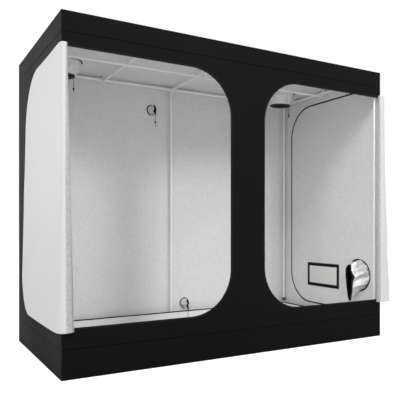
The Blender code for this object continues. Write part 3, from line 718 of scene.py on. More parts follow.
def makeRight():
    # the wall round its door, and the door: one cell round its duct port, one round its vent
    hole = bayOutline(**sideDoor)
    cell = ringCell(rectangle((front, 0), (rear, top), 0.03), hole, (-0.04, 1.03), 6, hole[[0, -1]])
    sewnPanel("right_panel", [cell], onRight, (1, 0, 0))
    outline = bayOutline(**sideDoor, grow=-sideZipGap)
    dense = alongLine(outline, 0.03, True)
    split, hinge, low, high = -0.2, outline[0, 0], outline[0, 1], outline[-1, 1]
    ventMiddle = np.array([0.042, 0.411])
    border = spread(np.full(60, split), np.linspace(low, high, 60))
    duct = circle(sideDuct["centre"], sideDuct["radius"], 64)
    near = alongLine([(split, low), (hinge, low), (hinge, high), (split, high)], 0.03)[:-1]
    near = np.vstack([near, border[::-1]])
    far = np.vstack([border, dense[dense[:, 0] > split + 0.001]])
    far = far[np.argsort(np.arctan2(*(far - ventMiddle).T[::-1]))]
    (y0, z0), (y1, z1), b = vent["low"], vent["high"], vent["border"]
    window = np.array([(y0 + b, z0 + b), (y1 - b, z0 + b), (y1 - b, z1 - b), (y0 + b, z1 - b)])
    cells = [ringCell(near, duct, sideDuct["centre"], 14), ringCell(far, window, ventMiddle, 14, window)]
    sewnPanel("side_door_panel", cells, onRight, (1, 0, 0))


makeFront()
makeRear()
makeRoof()
makeRight()
sewnPanel("left_panel", [plainCell((front, rear), (0, top))], onLeft, (-1, 0, 0), wrap=False)
sewnPanel("floor_panel", [plainCell((left, right), (front, rear))], onFloor, (0, 0, -1), wrap=False)
print("canopy made")

# ---- piping, seams and corner patches ----

trim = {"piping": 0.0022, "seamWidth": 0.0045, "seamRise": 0.0012, "sink": 0.0008,
        "seams": (0.165, 1.888), "patch": 0.075, "patchGap": 0.0045}


def sunkProfile(width, rise, shift=0.0):
    # a flat strip whose foot is sunk into the cloth
    return flatProfile(width, rise + trim["sink"]) + (shift, -trim["sink"])


def wallStrip(flat, lift, out, width, rise, shift=0.0, closed=False, inside=False):
    # a flat strip on the outer face of a wall, or on its lining, that follows the cloth's waves
    path = soften(lift(np.asarray(flat, float)), out=-canopy["cloth"] if inside else 0.0)
    way = np.asarray(out, float) * (-1 if inside else 1)
    return ribbon(path, way, sunkProfile(width, rise, shift), closed)


def ringPair(name, centre, radius, steps, lift, out, width, rise):
    # a port's sewn edge: a ring on the lining and a collar outside
    ring = circle(centre, radius, steps)
    for part, inside in (("Ring", True), ("Collar", False)):
        band = wallStrip(ring, lift, out, width, rise, closed=True, inside=inside)
        makePiece(name + part, band, "tape", "black_tape")


def makeTrim():
    # piping along the box's edges, and seams round the tent from one side of the side door
    # to the other
    e = canopy["edge"] * (1 - 0.7071) + 0.0004
    pipe = circle((0, 0), trim["piping"], 8)
    corners = [(left + e, front + e), (right - e, front + e), (right - e, rear - e), (left + e, rear - e)]
    flat = alongLine(corners, 0.05, True)
    shapes = [sweep(np.insert(flat, 2, z, -1), pipe, (0, 0, 1), closed=True)
              for z in (ground + trim["piping"], top - e)]
    z = np.linspace(ground + e, top - e, 40)
    shapes += [sweep(spread(x, y, z), pipe, (0, 1, 0)) for x, y in corners]
    makePiece("edgePiping", shapes, "binding", "black_cloth")
    shapes, near = [], 0.004
    for z in trim["seams"]:
        first, last = (0.0, 0.002)
        if z > sideDoor["bottom"] + 0.02:
            first, last = sideDoor["hinge"] - near, sideDoor["free"] + near
        ring = [(right, first), (right, front), (left, front), (left, rear), (right, rear), (right, last)]
        path = soften(np.insert(alongLine(ring, 0.03), 2, z, -1))
        x, y = path[:, 0], path[:, 1]
        awayX = np.where(np.abs(x) > right - near, x / right, 0)
        awayY = np.where(y < front + near, -1.0, np.where(y > rear - near, 1.0, 0))
        strip = sunkProfile(trim["seamWidth"], trim["seamRise"])
        shapes.append(ribbon(path, unit(spread(awayX, awayY, 0.0)), strip))
    # the seam strips' darker colour is painted shade
    makePiece("seamStrips", shapes, "seam", "black_cloth")


def makePatches():
    # sewn triangles in the corners of the four walls: rows that shrink towards the corner
    shapes, size = [], trim["patch"]
    s = np.linspace(0, 1, 9)
    wide, deep = (left, right), (front, rear)
    for lift, ends in ((onFront, wide), (onRear, wide), (onLeft, deep), (onRight, deep)):
        for corner, way in zip(ends, (1, -1)):
            for z, up in ((0.0, 1), (top, -1)):
                a = corner + way * (trim["patchGap"] + size * s[:, None] * (1 - s[None]))
                b = z + up * (trim["patchGap"] + size * 1.15 * s[None])
                flat = spread(a, b)
                shapes.append(gridShape(soften(lift(flat), out=0.0011), uv=flat))
    piece = build("cornerPatches", shapes, [looks["shell"]], {"point": np.array([0, 0.0014, 1.0])})
    thicken(piece, 0.0012, 0)
    stand(piece, "tent", "black_cloth")


makeTrim()
makePatches()
for side, way in ways.items():
    line = alongLine(doorwayLine[side], 0.03)
    strip = wallStrip(line, onFront, (0, -1, 0), 0.010, 0.0012, shift=-0.0052 * way)
    makePiece(f"{side}DoorwayBinding", strip, "tape", "black_cloth")
print("trim made")

# ---- frame ----

tubeSize = {"radius": 0.0095, "bore": 0.0083, "sides": 28}
socketSize = {"radius": 0.0113, "bore": 0.0098, "back": 0.0095, "arm": 0.075, "ball": 0.0121}
railZ, footZ = 1.97, 0.0136
lineX = {"left": -1.17, "mid": 0.0, "right": 1.17}
lineY = {"front": -0.5686, "rear": 0.5714}
alongX = {"left": [(1, 0, 0)], "mid": [(1, 0, 0), (-1, 0, 0)], "right": [(-1, 0, 0)]}


def makeTube(node):
    # a tube along its node's longest side, open at both ends with a rolled lip
    low, high = boxOf(node)
    axis = int(np.argmax(high - low))
    start = (low + high) / 2
    start[axis] = low[axis]
    length = high[axis] - low[axis]
    r, b = tubeSize["radius"], tubeSize["bore"]
    profile = [(r - 0.0004, 0), (r, 0.0006)] + [(r, length * k / 12) for k in range(1, 12)]
    profile += [(r, length - 0.0006), (r - 0.0004, length), (b, length), (b, 0)]
    shape = lathe(profile, start, np.eye(3)[axis], tubeSize["sides"])
    makePiece(camel(node), shape, "steel", "white_steel", node)


def socketShapes(centre, arms, look=0):
    # for each arm a sleeve with a closed inner end, a pressed ring near its mouth and a
    # rounded lip, and a ball where they meet
    r, b, back, arm = (socketSize[key] for key in ("radius", "bore", "back", "arm"))
    profile = [(0.0001, -back), (r * 0.6, -back + 0.0006), (r * 0.92, -back + 0.003), (r, -back + 0.008),
               (r, arm - 0.016), (r - 0.0006, arm - 0.0145), (r - 0.0006, arm - 0.0125), (r, arm - 0.011),
               (r, arm - 0.0012), (r - 0.0007, arm), (b, arm), (b, 0.014), (0.0001, 0.014)]
    ball = pebble(centre, (socketSize["ball"],) * 3, (1, 1), 24, look)
    return [lathe(profile, centre, way, 28, look) for way in arms] + [ball]


def makeJoints():
    # the six top connectors, and the bottom ring with its foot connectors as one piece
    corners = [(lineX[column], lineY[row]) for column, row in
               (("left", "front"), ("right", "front"), ("right", "rear"), ("left", "rear"))]
    path = np.insert(alongLine(corners, 0.08, True), 2, footZ, -1)
    feet = [sweep(path, circle((0, 0), tubeSize["radius"], 24), (0, 0, 1), closed=True)]
    for row, back in (("front", 1), ("rear", -1)):
        for column, x in lineX.items():
            node, y = f"{row}_{column}_connector", lineY[row]
            arms = [(0, back, 0), (0, 0, -1), *alongX[column]]
            makePiece(camel(node), socketShapes((x, y, railZ), arms), "socket", "connector_steel", node)
            arms = [(0, 0, 1), *alongX[column]] + ([] if column == "mid" else [(0, back, 0)])
            feet += socketShapes((x, y, footZ), arms, look=1)
    piece = build("baseFrame", feet, [looks["steel"], looks["socket"]])
    stand(piece, "tent", "white_steel", "base_frame")


def makeHangingBar(node, rails, drop, bend, axis):
    # hooked over both rails from the hook's tip, then down and round to the level bar
    low, high = boxOf(node)
    middle, half = (rails[0] + rails[1]) / 2, (rails[1] - rails[0]) / 2
    grip = 0.0185
    over = arc((0, 0), grip, 140, 0, 18)
    turn = arc((grip + bend, bend - drop), bend, 180, 270, 10)
    first = np.vstack([over, turn if drop > bend else turn[1:]]) - (half, 0)
    level = alongLine([first[-1], first[-1] * (-1, 1)], 0.06)[1:-1]
    run = np.vstack([first, level, first[::-1] * (-1, 1)])
    path = np.zeros((len(run), 3))
    path[:, axis], path[:, 2] = middle + run[:, 0], railZ + run[:, 1]
    path[:, 1 - axis] = (low[1 - axis] + high[1 - axis]) / 2
    size = np.ones(len(path))
    size[[0, -1]] = 0.86
    shape = sweep(path, circle((0, 0), 0.008, 20), np.eye(3)[1 - axis], size=size)
    makePiece(camel(node), shape, "steel", "white_steel", node, body=node)


for row in lineY:
    for column in lineX:
        makeTube(f"{row}_{column}_upright")
    for side in ways:
        makeTube(f"{row}_{side}_top_rail")
for column in lineX:
    makeTube(f"{column}_top_rail")
makeJoints()
makeHangingBar("left_hanging_bar", (lineX["left"], 0.0), 0.033, 0.014, 0)
makeHangingBar("right_hanging_bar", (0.0, lineX["right"]), 0.033, 0.014, 0)
for side in ways:
    makeHangingBar(f"{side}_crossing_bar", (lineY["front"], lineY["rear"]), 0.0135, 0.0135, 1)
print("frame made")

# ---- front doors, folded back round the corners ----

# Plans of the doors, (x, y) in millimetres from the canopy's front corner: the seam, the fold in
# front of the corner, and along the side wall. The folds are fuller at the bottom, where the
# weight lies. The stripe is the hem's length along the plan.
door = {
    "width": 1.058,
    "bottom": 0.262,
    "topEdge": 1.822,
    "radiusLow": 0.24,
    "radiusHigh": 0.37,
    "cloth": 0.0016,
    "reach": 0.937,
    "hemFlat": 0.066,
    "left": {
        "low": [(24, -2), (46, -3.5), (61, -9), (63.5, -18), (54, -28.5), (34.7, -37.5), (16.4, -43.2), (0, -41),
                (-12.3, -33.5), (-23.1, -14.5), (-29, 10), (-31.5, 60), (-33.5, 145), (-35.2, 280),
                (-35.8, 450), (-34.5, 650), (-30, 800), (-26.5, 950), (-25, 1200)],
        "high": [(24, -2), (28, -5), (29.2, -11), (25, -17.2), (15, -20.3), (6.5, -20.3), (-1, -16), (-6, -6),
                 (-8.8, 12), (-9.2, 44), (-8.1, 115), (-6.5, 190), (-5.2, 270), (-4.5, 350),
                 (-4.2, 450), (-4.2, 650), (-4.2, 880), (-4.2, 1050), (-4.2, 1200)],
        "stripe": (0.105, 0.026),
    },
    "right": {
        "low": [(24, -2), (42, -4.5), (53, -12), (52, -24), (40, -35), (20, -43), (-5, -46), (-33, -46),
                (-56, -43.5), (-67, -30), (-68, -5), (-64, 50), (-58, 145), (-49.5, 280),
                (-42.5, 450), (-36, 650), (-30.5, 800), (-26.5, 950), (-25, 1200)],
        "high": [(24, -2), (28.5, -5.5), (28.5, -12.5), (22, -19.5), (8, -25.5), (-6, -28), (-16.5, -25.5), (-21, -14),
                 (-20.5, 5), (-18, 44), (-14, 115), (-10.5, 190), (-8, 270), (-6.2, 350),
                 (-5, 450), (-4.2, 650), (-4.2, 880), (-4.2, 1050), (-4.2, 1200)],
        "stripe": (0.068, 0.026),
    },
}


def doorGrid(side, share, hem):
    # rows of cloth between the lower and the upper plan. A row is cut by its length along the
    # plan: the hem up to the stripe's edge, the door from there to its rounded free edge
    facts, r = door[side], door["radiusHigh"]
    low, high = (spline(np.array(facts[key]) / 1000, 900) for key in ("low", "high"))
    past = 200    # plan points before this one are in front of the corner
    rows = []
    for v in share:
        plan = between(low, high, v)
        run = runOf(plan)
        stripe = between(*facts["stripe"], v)
        total = np.interp(door["reach"], plan[past:, 1], run[past:])
        if hem:
            s = np.linspace(0, stripe, 26)
        else:
            bend = total - stripe - r
            tail = bend + r * np.sin(np.linspace(0, pi / 2, 22))
            s = np.concatenate([np.linspace(0, 0.22, 45)[:-1], np.linspace(0.22, bend, 26)[:-1], tail]) + stripe
        x, y = (np.interp(s, run, plan[:, i]) for i in (0, 1))
        rows.append(spread(x, y, s - stripe, total - s))
    return np.array(rows)


def makeDoor(side, way, hem):
    # the plans' cloth with its corners cut round, and soft ripples that fade at the borders
    share = np.linspace(0, 1, 61)
    bottom, topEdge = door["bottom"], door["topEdge"]
    x, y, s, toGo = np.moveaxis(doorGrid(side, share, hem), -1, 0)
    lowCut, highCut = (r - np.sqrt(np.maximum(r**2 - np.maximum(r - toGo, 0) ** 2, 0))
                       for r in (door["radiusLow"], door["radiusHigh"]))
    z = between(bottom + lowCut, topEdge - highCut, share[:, None])
    flat = spread(s, z)
    inside = np.sin(pi * np.clip((z - bottom) / (topEdge - bottom), 0, 1))
    ripple = 0.0016 * waves(flat * (1.6, 1), 0.42, 5) * np.sqrt(inside)
    if hem:
        y = y + 0.5 * ripple * smoothStep(1 + s / 0.02) * (y < -0.006)
    else:
        x = x - np.maximum(ripple, -0.0004) * smoothStep(s / 0.08) * smoothStep((y + 0.01) / 0.05)
        y = y + ripple * (1 - smoothStep((y + 0.03) / 0.03)) * smoothStep(s / 0.02)
    points = spread(way * (right - x), front + y, z)
    hemNode, doorNode = f"{side}_door_hem", f"{side}_front_door"
    node = hemNode if hem else doorNode
    inner = {"point": np.array([way * 1.17, front + 0.25, 1.0])}
    faces = [looks["hem" if hem else "door"], looks["shell"]]
    piece = build(camel(node), gridShape(points, uv=flat), faces, inner)
    thicken(piece, door["cloth"])
    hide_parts(node)
    if hem:
        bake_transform(piece)
    else:
        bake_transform(piece)


for side, way in ways.items():
    makeDoor(side, way, True)
    makeDoor(side, way, False)
print("doors made")

# ---- zips ----

zipSize = {"width": 0.012, "tape": 0.0010, "coil": 0.0017, "pitch": 0.0026, "behind": 0.0028}


def coilAlong(path, up):
    # a bead that swells once for each tooth
    steps = alongLine(path, zipSize["pitch"] / 2)
    size = np.where(np.arange(len(steps)) % 2 == 0, 1.0, 0.72)
    return sweep(steps, circle((0, 0), zipSize["coil"], 6) * (1, 0.7), up, size=size, look=1)


def makeZip(name, node, tapePath, tape, coilPath, up):
    piece = build(name, [sweep(tapePath, tape, up), coilAlong(coilPath, up)], [looks["tape"], looks["plastic"]])
    stand(piece, "tent", "black_tape", node)


def makeZips():
    # the front zips lie behind the doorways' edges, the side zip in the gap round its door
    face = front + canopy["cloth"] + zipSize["behind"]
    for side, way in ways.items():
        tape = flatProfile(zipSize["width"], zipSize["tape"]) - (way * 0.0062, 0)
        line = alongLine(doorwayLine[side], 0.02)
        inner = bayOutline(**doorway, grow=0.0035, steps=40) * (way, 1)
        makeZip(f"{side}DoorZip", f"{side}_door_zip", np.insert(line, 1, face, -1), tape,
                np.insert(inner, 1, face + 0.0008, -1), (0, -1, 0))
    line = alongLine(bayOutline(**sideDoor, grow=-sideZipGap / 2, steps=30), 0.02)
    makeZip("sideDoorZip", "side_door_zip", np.insert(line, 0, right - 0.0029, -1), flatProfile(0.0136, 0.0028),
            np.insert(line, 0, right - 0.0031, -1), (1, 0, 0))


def makeSlider(node, axis, inward):
    # a waisted body with a bridge and a pull tab that has a slot in it
    low, high = boxOf(node)
    run = 1 - axis
    base = (low if inward > 0 else high)[axis]
    middle = high[2] - 0.006

    def spot(along, out, z):
        p = np.zeros(3)
        p[run], p[axis], p[2] = (low[run] + high[run]) / 2 + along, base + inward * out, z
        return p

    def lump(along, out, half, roundness, sides):
        size = np.zeros(3)
        size[run], size[axis], size[2] = half
        return pebble(spot(along, out, middle), size, roundness, sides)

    shapes = [lump(0, 0.0012, (0.0115, 0.0012, 0.0058), (0.45, 0.6), 24),
              lump(0, 0.0033, (0.0095, 0.0007, 0.0048), (0.5, 0.6), 24),
              lump(-0.004, 0.0024, (0.0035, 0.0022, 0.0015), (0.6, 0.6), 16)]
    tab = np.vstack([arc((0, -0.004), 0.0032, 0, 180, 10), arc((0, -0.0290), 0.0034, 180, 360, 10)])
    slot = np.vstack([arc((0, -0.018), 0.0014, 0, 180, 10), arc((0, -0.0275), 0.0015, 180, 360, 10)])
    rings = [[spot(a, out, middle + b) for a, b in outline]
             for outline, out in ((tab, 0.0036), (tab, 0.0049), (slot, 0.0049), (slot, 0.0036))]
    shapes.append(gridShape(np.array(rings), True, True))
    eye = [spot(0, 0.0036 + 0.0013 * sin(t), middle - 0.001 - 0.0032 * cos(t)) for t in turns(16)]
    shapes.append(sweep(eye, circle((0, 0), 0.0005, 8), np.eye(3)[run], closed=True))
    makePiece(camel(node), shapes, "metal", "dark_metal", node, body=node)


makeZips()
makeSlider("left_zip_slider", 1, 1)
makeSlider("right_zip_slider", 1, 1)
makeSlider("side_zip_slider", 0, -1)
print("zips made")

# ---- ports and their sleeves ----


def pleats(a, s, *rows):
    # the sum of cosine waves round a sleeve: each row gives a wave's height, its count, its
    # phase and how far it turns on the way down
    return sum(height * np.cos(count * a + phase + drift * s) for height, count, phase, drift in rows)


def makeSleeve(name, node, points, uv, look, thickness, centre):
    # silver cloth outside, black inside
    piece = build(name, gridShape(points, False, True, uv), [looks[look], looks["shell"]], {"point": centre})
    thicken(piece, thickness)
    stand(piece, "tent", "silver_cloth", node)


ceilingSleeve = {"mouth": 0.087, "drop": 0.111, "hem": 0.014, "tilt": 0.0045,
                 "lean": {"left": -0.010, "right": 0.0}, "seed": {"left": 21, "right": 22}}


def makeCeilingSleeve(side):
    # rings from the roof to the mouth, narrowing as the square of the way down, with pleats
    # that are deepest halfway and fine crumples over them
    x, y = ducts[side]
    mouth, drop, tilt = (ceilingSleeve[key] for key in ("mouth", "drop", "tilt"))
    lean = ceilingSleeve["lean"][side]
    a, s = turns(160)[None], np.linspace(0, 1, 26)[:, None]
    reach = drop - ceilingSleeve["hem"]
    shift = np.random.default_rng(ceilingSleeve["seed"][side]).uniform(0, 2 * pi, 4)
    pleat = pleats(a, s, (0.0058, 10, 0, 0), (0.0016, 23, shift[0], 3), (0.0012, 17, shift[1], -4))
    crease = 0.0026 * np.sin(2 * pi * 3.2 * s + 1.4 * np.cos(3 * a + shift[2])) * np.cos(2 * a + shift[3])
    deep = np.sin(pi * s)
    radius = between(ducts["radius"] - 0.0004, mouth, s**2) + pleat * deep + crease * deep**0.7
    points = spread(x + lean * s**2 + radius * np.cos(a), y + radius * np.sin(a),
                       top - 0.001 - reach * s + tilt * np.sin(a) * s**2)
    makeSleeve(f"{side}CeilingDuctSleeve", f"{side}_ceiling_duct_sleeve", points, spread(a * 0.1, s * reach),
               "foil", 0.0012, np.array([x, y, top - reach / 2]))
    a = a[0]
    r = mouth - 0.0015 + pleats(a, 0, (0.0012, 10, 0, 0), (0.0009, 27, shift[0], 0))
    path = spread(x + lean + r * np.cos(a), y + r * np.sin(a),
                     top - drop + 0.0072 + tilt * np.sin(a) + 0.0006 * np.cos(20 * a))
    hem = sweep(path, circle((0, 0), 1, 12) * (0.0024, 0.0072), (0, 0, 1), closed=True)
    # the hem's grey is painted light on black tape
    makePiece(f"{side}CeilingDuctHem", hem, "hemPaintedLight", "black_tape")
    ringPair(f"{side}CeilingDuct", (x, y), ducts["radius"] + 0.004, 90, onRoof, (0, 0, 1), 0.009, 0.0016)


# The side sleeve's gathered hem as seen from inside the tent: (y, z) round its outline
sideSleeve = {
    "reach": 0.115,
    "hem": [(-0.3626, 0.505), (-0.3840, 0.529), (-0.4100, 0.529), (-0.4125, 0.498), (-0.4300, 0.461),
            (-0.4500, 0.438), (-0.4320, 0.409), (-0.4250, 0.342), (-0.4200, 0.305), (-0.4060, 0.252),
            (-0.3880, 0.269), (-0.3730, 0.337), (-0.3630, 0.407), (-0.3570, 0.455), (-0.3590, 0.484)],
    "middle": np.array([-0.395, 0.40]),
    "inset": 0.0045,      # of the sleeve's start from the port's edge
    "hemDepth": 0.014,
    "flat": (0.767, 0.16),
}


def makeSideSleeve():
    # each ring goes from the round port to the gathered hem, bent towards it by a power of the
    # way, and folds run from the hem's waist out to the port, widest in the middle
    (cy, cz), r, reach = sideDuct["centre"], sideDuct["radius"], sideSleeve["reach"]
    outline, middle = sideSleeve["hem"], sideSleeve["middle"]
    hem = spline(outline[-2:] + outline + outline[:3], 1200)
    loopA = np.arctan2((hem[:, 1] - middle[1]) / 3.2, hem[:, 0] - middle[0])
    order = np.argsort(loopA)
    a = np.linspace(-pi, pi, 176, endpoint=False)
    hemY, hemZ = (np.interp(a, loopA[order], hem[order, i], period=2 * pi) for i in (0, 1))
    s = np.linspace(0, 1, 34)[:, None]
    start = r - sideSleeve["inset"]
    y = between(cy + start * np.cos(a), hemY, s)
    z = between(cz + start * np.sin(a), hemZ, s ** (1.8 + 2.4 * np.maximum(-np.sin(a), 0)))
    shift = np.random.default_rng(8).uniform(0, 2 * pi, 5)
    folds = (0.0150 * ridge(7 * a + 0.9 + 0.5 * np.sin(2 * a)) + 0.0035 * ridge(11 * a + shift[1] - 2.5 * s)
             + 0.0003 * np.cos(31 * a + shift[2] + 5 * s)) * np.sin(pi * s**0.75) ** 0.8
    depth = 0.001 + reach * (s + 0.049 * np.sin(pi * s) * np.cos(2 * a + 0.6))
    points = spread(right - depth, y + folds * np.cos(a), z + folds * np.sin(a))
    makeSleeve("sideDuctSleeve", "side_duct_sleeve", points, spread(a * 0.12, s * 0.115),
               "brightFoil", 0.0012, points.mean((0, 1)))
    base = spread(right - 0.001 - reach, hemY, hemZ)
    ends = spread(right - sideSleeve["hemDepth"] - reach,
                  between(middle[0], hemY, 0.93), between(middle[1], hemZ, 0.985))
    rings = []
    for t, grow in ((0.0, 0.0), (0.15, 0.0018), (0.5, 0.0026), (0.85, 0.0018), (1.0, 0.0)):
        swell = (grow + 0.0012 * np.cos(44 * a) * (grow > 0)) * np.stack([0 * a, np.cos(a), np.sin(a)])
        rings.append(between(base, ends, t) + swell.T)
    for t in (1.0, 0.5, 0.0):
        ring = between(base, ends, t)
        ring[:, 1:] = between(middle, ring[:, 1:], (0.72, 0.93))
        rings.append(ring)
    uv = spread(a[None] * 0.12, np.linspace(0, 0.03, 8)[:, None])
    makePiece("sideDuctHem", gridShape(np.array(rings), True, True, uv), "binding", "black_tape")
    ringPair("sideDuct", (cy, cz), r + 0.003, 90, onRight, (1, 0, 0), 0.0085, 0.0022)


cableSleeve = {"seed": {"upper": 31, "lower": 32}, "inset": 0.0062, "halfWide": 0.0040, "halfTall": 0.036,
               "lean": 0.004, "sink": 0.009, "wander": 0.0050, "reach": 0.056, "flatLong": 0.064}


def makeCableSleeve(port):
    # as the side duct's, small, gathered to a flat mouth whose hem runs in a wavy line
    (cx, cz), r = cables[port], cables["radius"]
    seed, inset, halfWide, halfTall, lean, sink, wander, reach, flatLong = cableSleeve.values()
    a, s = turns(96)[None], np.linspace(0, 1, 22)[:, None]
    shift = np.random.default_rng(seed[port]).uniform(0, 2 * pi, 4)
    folds = pleats(a, s, (0.0026, 7, shift[0], 1), (0.0012, 15, shift[1], -2)) * np.sin(pi * s)
    wide = between(r - inset, halfWide, s) + folds
    tall = between(r - inset, halfTall, s**2) + folds
    sideways = wander * np.sin(2 * pi * np.sin(a) * 0.9)
    points = spread(cx + lean * s + wide * np.cos(a) + sideways * s**2, rear - 0.001 - reach * s,
                    cz - sink * s**2 + tall * np.sin(a))
    makeSleeve(f"{port}CableSleeve", f"{port}_cable_sleeve", points, spread(a * 0.04, s * 0.06),
               "foil", 0.0010, points.mean((0, 1)))
    a, sideways = a[0], sideways[0]
    path = spread(cx + lean + 0.0042 * np.cos(a) + sideways, rear - 0.0615 + 0.0006 * np.cos(9 * a),
                     cz - sink + halfTall * np.sin(a))
    hem = sweep(path, circle((0, 0), 1, 10) * (0.0042, 0.0055), (0, 1, 0), closed=True)
    makePiece(f"{port}CableHem", hem, "binding", "black_tape")
    ringPair(f"{port}Cable", (cx, cz), r - 0.0030, 60, onRear, (0, 1, 0), 0.0085, 0.0024)


makeCeilingSleeve("left")
makeCeilingSleeve("right")
makeSideSleeve()
makeCableSleeve("upper")
makeCableSleeve("lower")
print("ports made")

# ---- vent, tray and strap ----


def makeVent():
    # a taped border on the lining, and a net that sags a little between its sides
    (y0, z0), (y1, z1), b = vent["low"], vent["high"], vent["border"]
    h, lap = b / 2, b - 0.0015
    flat = alongLine([(y0 + h, z0 + h), (y1 - h, z0 + h), (y1 - h, z1 - h), (y0 + h, z1 - h)], 0.02, True)
    path = soften(onRight(flat), out=-canopy["cloth"] - 0.0001)
    border = sweep(path, flatProfile(b, 0.0022), (-1, 0, 0), closed=True)
    makePiece("ventBorder", border, "tape", "black_tape", "vent_border")
    u, v = np.linspace(y0 + lap, y1 - lap, 60)[None], np.linspace(z0 + lap, z1 - lap, 36)[:, None]
    sag = 0.0025 * np.sin(pi * (u - y0) / (y1 - y0)) * np.sin(pi * (v - z0) / (z1 - z0)) ** 2
    flat = spread(u, v)
    points = spread(right - 0.0031 - sag + 0.0006 * waves(flat, 0.09, 12), u, v)
    net = build("ventMesh", gridShape(points, uv=flat), [looks["mesh"]], (1, 0, 0))
    thicken(net, 0.0007, 0)
    stand(net, "tent", "pale_mesh", "vent_mesh")


tray = {"x": 1.152, "yLow": -0.5506, "yHigh": 0.5534, "floor": 0.0026, "rim": 0.1235, "corner": 0.016}


def makeTray():
    # rings: out over the floor, up the wall, with a soft wave at the rim
    c, x, y0, y1, low = (tray[key] for key in ("corner", "x", "yLow", "yHigh", "floor"))
    corners = ((x - c, y0 + c, 270), (x - c, y1 - c, 0), (-x + c, y1 - c, 90), (-x + c, y0 + c, 180))
    loop = alongLine(np.vstack([arc((a, b), c, deg, deg + 90, 6) for a, b, deg in corners]), 0.02, True)
    middle = np.array([0, (y0 + y1) / 2])
    shares = (0.0, 0.15, 0.3, 0.45, 0.6, 0.75, 0.9, 0.97, 0.99, 1.0)
    rings = [np.insert(middle + (loop - middle) * q, 2, low + 0.0003, -1) for q in shares]
    out = unit(loop - middle)
    for q in (0.03, 0.1, 0.25, 0.4, 0.55, 0.7, 0.85, 1.0):
        wave = 0.0016 * waves(np.insert(loop, 2, q * 0.1, -1), 0.35, 14) * q
        rim = 0.0012 * waves(loop, 0.5, 15) * q
        inward = np.minimum(wave, 0.0) - 0.0012 * q
        z = between(low, tray["rim"], q) + np.minimum(rim, 0)
        rings.append(np.column_stack([loop + out * inward[:, None], z]))
    rings = np.array(rings)
    uv = spread(runOf(loop)[None], np.linspace(0, 0.7, len(rings))[:, None])
    piece = build("floorTray", gridShape(rings, False, True, uv), [looks["tray"]], (0, 0, 1))
    thicken(piece, 0.0014, 0, 0)
    stand(piece, "tent", "silver_cloth", "floor_tray")
    # a black strip swept along the top of the tray's rim
    strip = np.array([(-0.0018, -0.0045), (0.0018, -0.0045), (0.0021, 0.002),
                      (0.0014, 0.0042), (-0.0014, 0.0042), (-0.0021, 0.002)])
    edge = sweep(rings[-1] + (0, 0, -0.0030), strip, (0, 0, 1), closed=True)
    makePiece("trayRimStrip", edge, "binding", "black_tape")


def makeStrap():
    # a band round the upright with rolled edges, and a snap on its front
    low, high = boxOf("rear_right_tray_strap")
    x, y, middle = (low + high) / 2
    z0, z1, r = low[2], high[2], 0.0100
    profile = [(r, z0 + 0.001), (r + 0.0015, z0), (r + 0.0030, z0 + 0.0015), (r + 0.0034, z0 + 0.008),
               (r + 0.0030, middle), (r + 0.0034, z1 - 0.008), (r + 0.0030, z1 - 0.0015),
               (r + 0.0015, z1), (r, z1 - 0.001)]
    shapes = [lathe(profile, (x, y, 0), (0, 0, 1), 32)]
    facing = unit(np.array([-0.55, -0.84, 0.0]))
    for q, size in ((0.0132, 0.0042), (0.0145, 0.0028)):
        button = [(0.00005, 0.0), (size, 0.0), (size, 0.0006), (size * 0.8, 0.0012), (0.00005, 0.0014)]
        shapes.append(lathe(button, np.array([x, y, middle]) + facing * q, facing, 20, look=1))
    piece = build("rearRightTrayStrap", shapes, [looks["binding"], looks["snap"]])
    stand(piece, "tent", "black_tape", "rear_right_tray_strap")


def makeRearSeam():
    # a sewn outline on the rear wall's lining: down its right side, round and to the left
    line = np.vstack([[(1.104, 1.60)], [(1.104, 0.42)], arc((0.955, 0.42), 0.149, 0, -90, 14), [(0.70, 0.271)]])
    strip = wallStrip(alongLine(line, 0.03), onRear, (0, 1, 0), 0.005, 0.0011, inside=True)
    makePiece("rearSeam", strip, "lining", "black_cloth")


makeVent()
makeTray()
makeStrap()
makeRearSeam()
print("vent and tray made")

# ---- floor, world and lamps ----

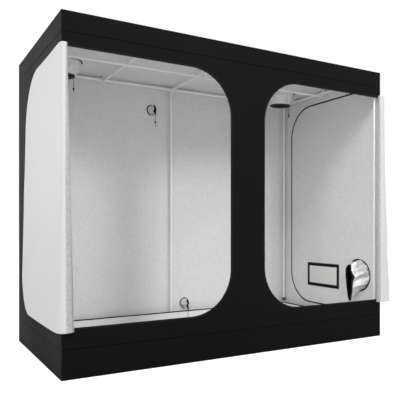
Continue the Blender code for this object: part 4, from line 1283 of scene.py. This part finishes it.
studio = {
    "world": 0.93,
    "floorGlow": 0.72,    # added where the camera sees the floor, so that it shows as white
    "lamps": {
        "frontRightBox": {"place": (2.0, -7.0, 4.2), "target": (0, 0, 0.9), "size": (1.8, 1.8), "power": 155.0},
        "frontLeftBox": {"place": (-5.8, -5.0, 5.8), "target": (0, 0, 0.9), "size": (2.2, 2.0), "power": 200.0},
        "rimBox": {"place": (-5.6, 5.0, 2.4), "target": (-1.2, 0, 1.0), "size": (2.6, 2.4), "power": 45.0},
    },
}


def makeFloor():
    u = np.linspace(-30, 30, 13)
    points = np.insert(np.stack(np.meshgrid(u, u), -1), 2, -0.0006, -1)
    made, tree, shader, spot, uv = material("studioFloor", 0.93, 0.9, 0.0, 0.1)
    uneven = fromGroup(tree, "mottle", Vector=spot, Size=0.8, Fine=12.0)["Value"]
    colour = mixColours(tree, rampOf(tree, uneven, 0.3, 0.7), 0.64, 0.66)
    tree.links.new(colour, shader.inputs["Base Color"])
    seen = tree.nodes.new("ShaderNodeLightPath").outputs["Is Camera Ray"]
    glow = put(tree, "ShaderNodeEmission", {"Strength": mathNode(tree, "MULTIPLY", seen, studio["floorGlow"])})
    both = put(tree, "ShaderNodeAddShader", {0: shader.outputs[0], 1: glow.outputs[0]})
    tree.links.new(both.outputs[0], tree.nodes["Material Output"].inputs["Surface"])
    build("studioFloor", gridShape(points), [made], (0, 0, 1))


def makeWorld():
    world = bpy.data.worlds.new("studio")
    bpy.context.scene.world = world
    world.use_nodes = True
    tree = world.node_tree
    base = tree.nodes["Background"]
    base.inputs[0].default_value = (1, 1, 1, 1)
    path = tree.nodes.new("ShaderNodeLightPath").outputs
    seen = mathNode(tree, "MAXIMUM", path["Is Camera Ray"], path["Is Transmission Ray"])
    tree.links.new(rampOf(tree, seen, 0, 1, studio["world"], 1.0), base.inputs[1])


def makeLamp(name, place, target, size, power):
    made = bpy.data.objects.new(name, bpy.data.lights.new(name, "AREA"))
    made.data.shape, made.data.size, made.data.size_y, made.data.energy = "RECTANGLE", *size, power
    made.location = place
    made.rotation_euler = Vector(np.subtract(target, place)).to_track_quat("-Z", "Y").to_euler()
    bpy.context.scene.collection.objects.link(made)


makeFloor()
makeWorld()
for name, facts in studio["lamps"].items():
    makeLamp(name, **facts)
bpy.context.scene.view_settings.view_transform = "Standard"
print("stage made")
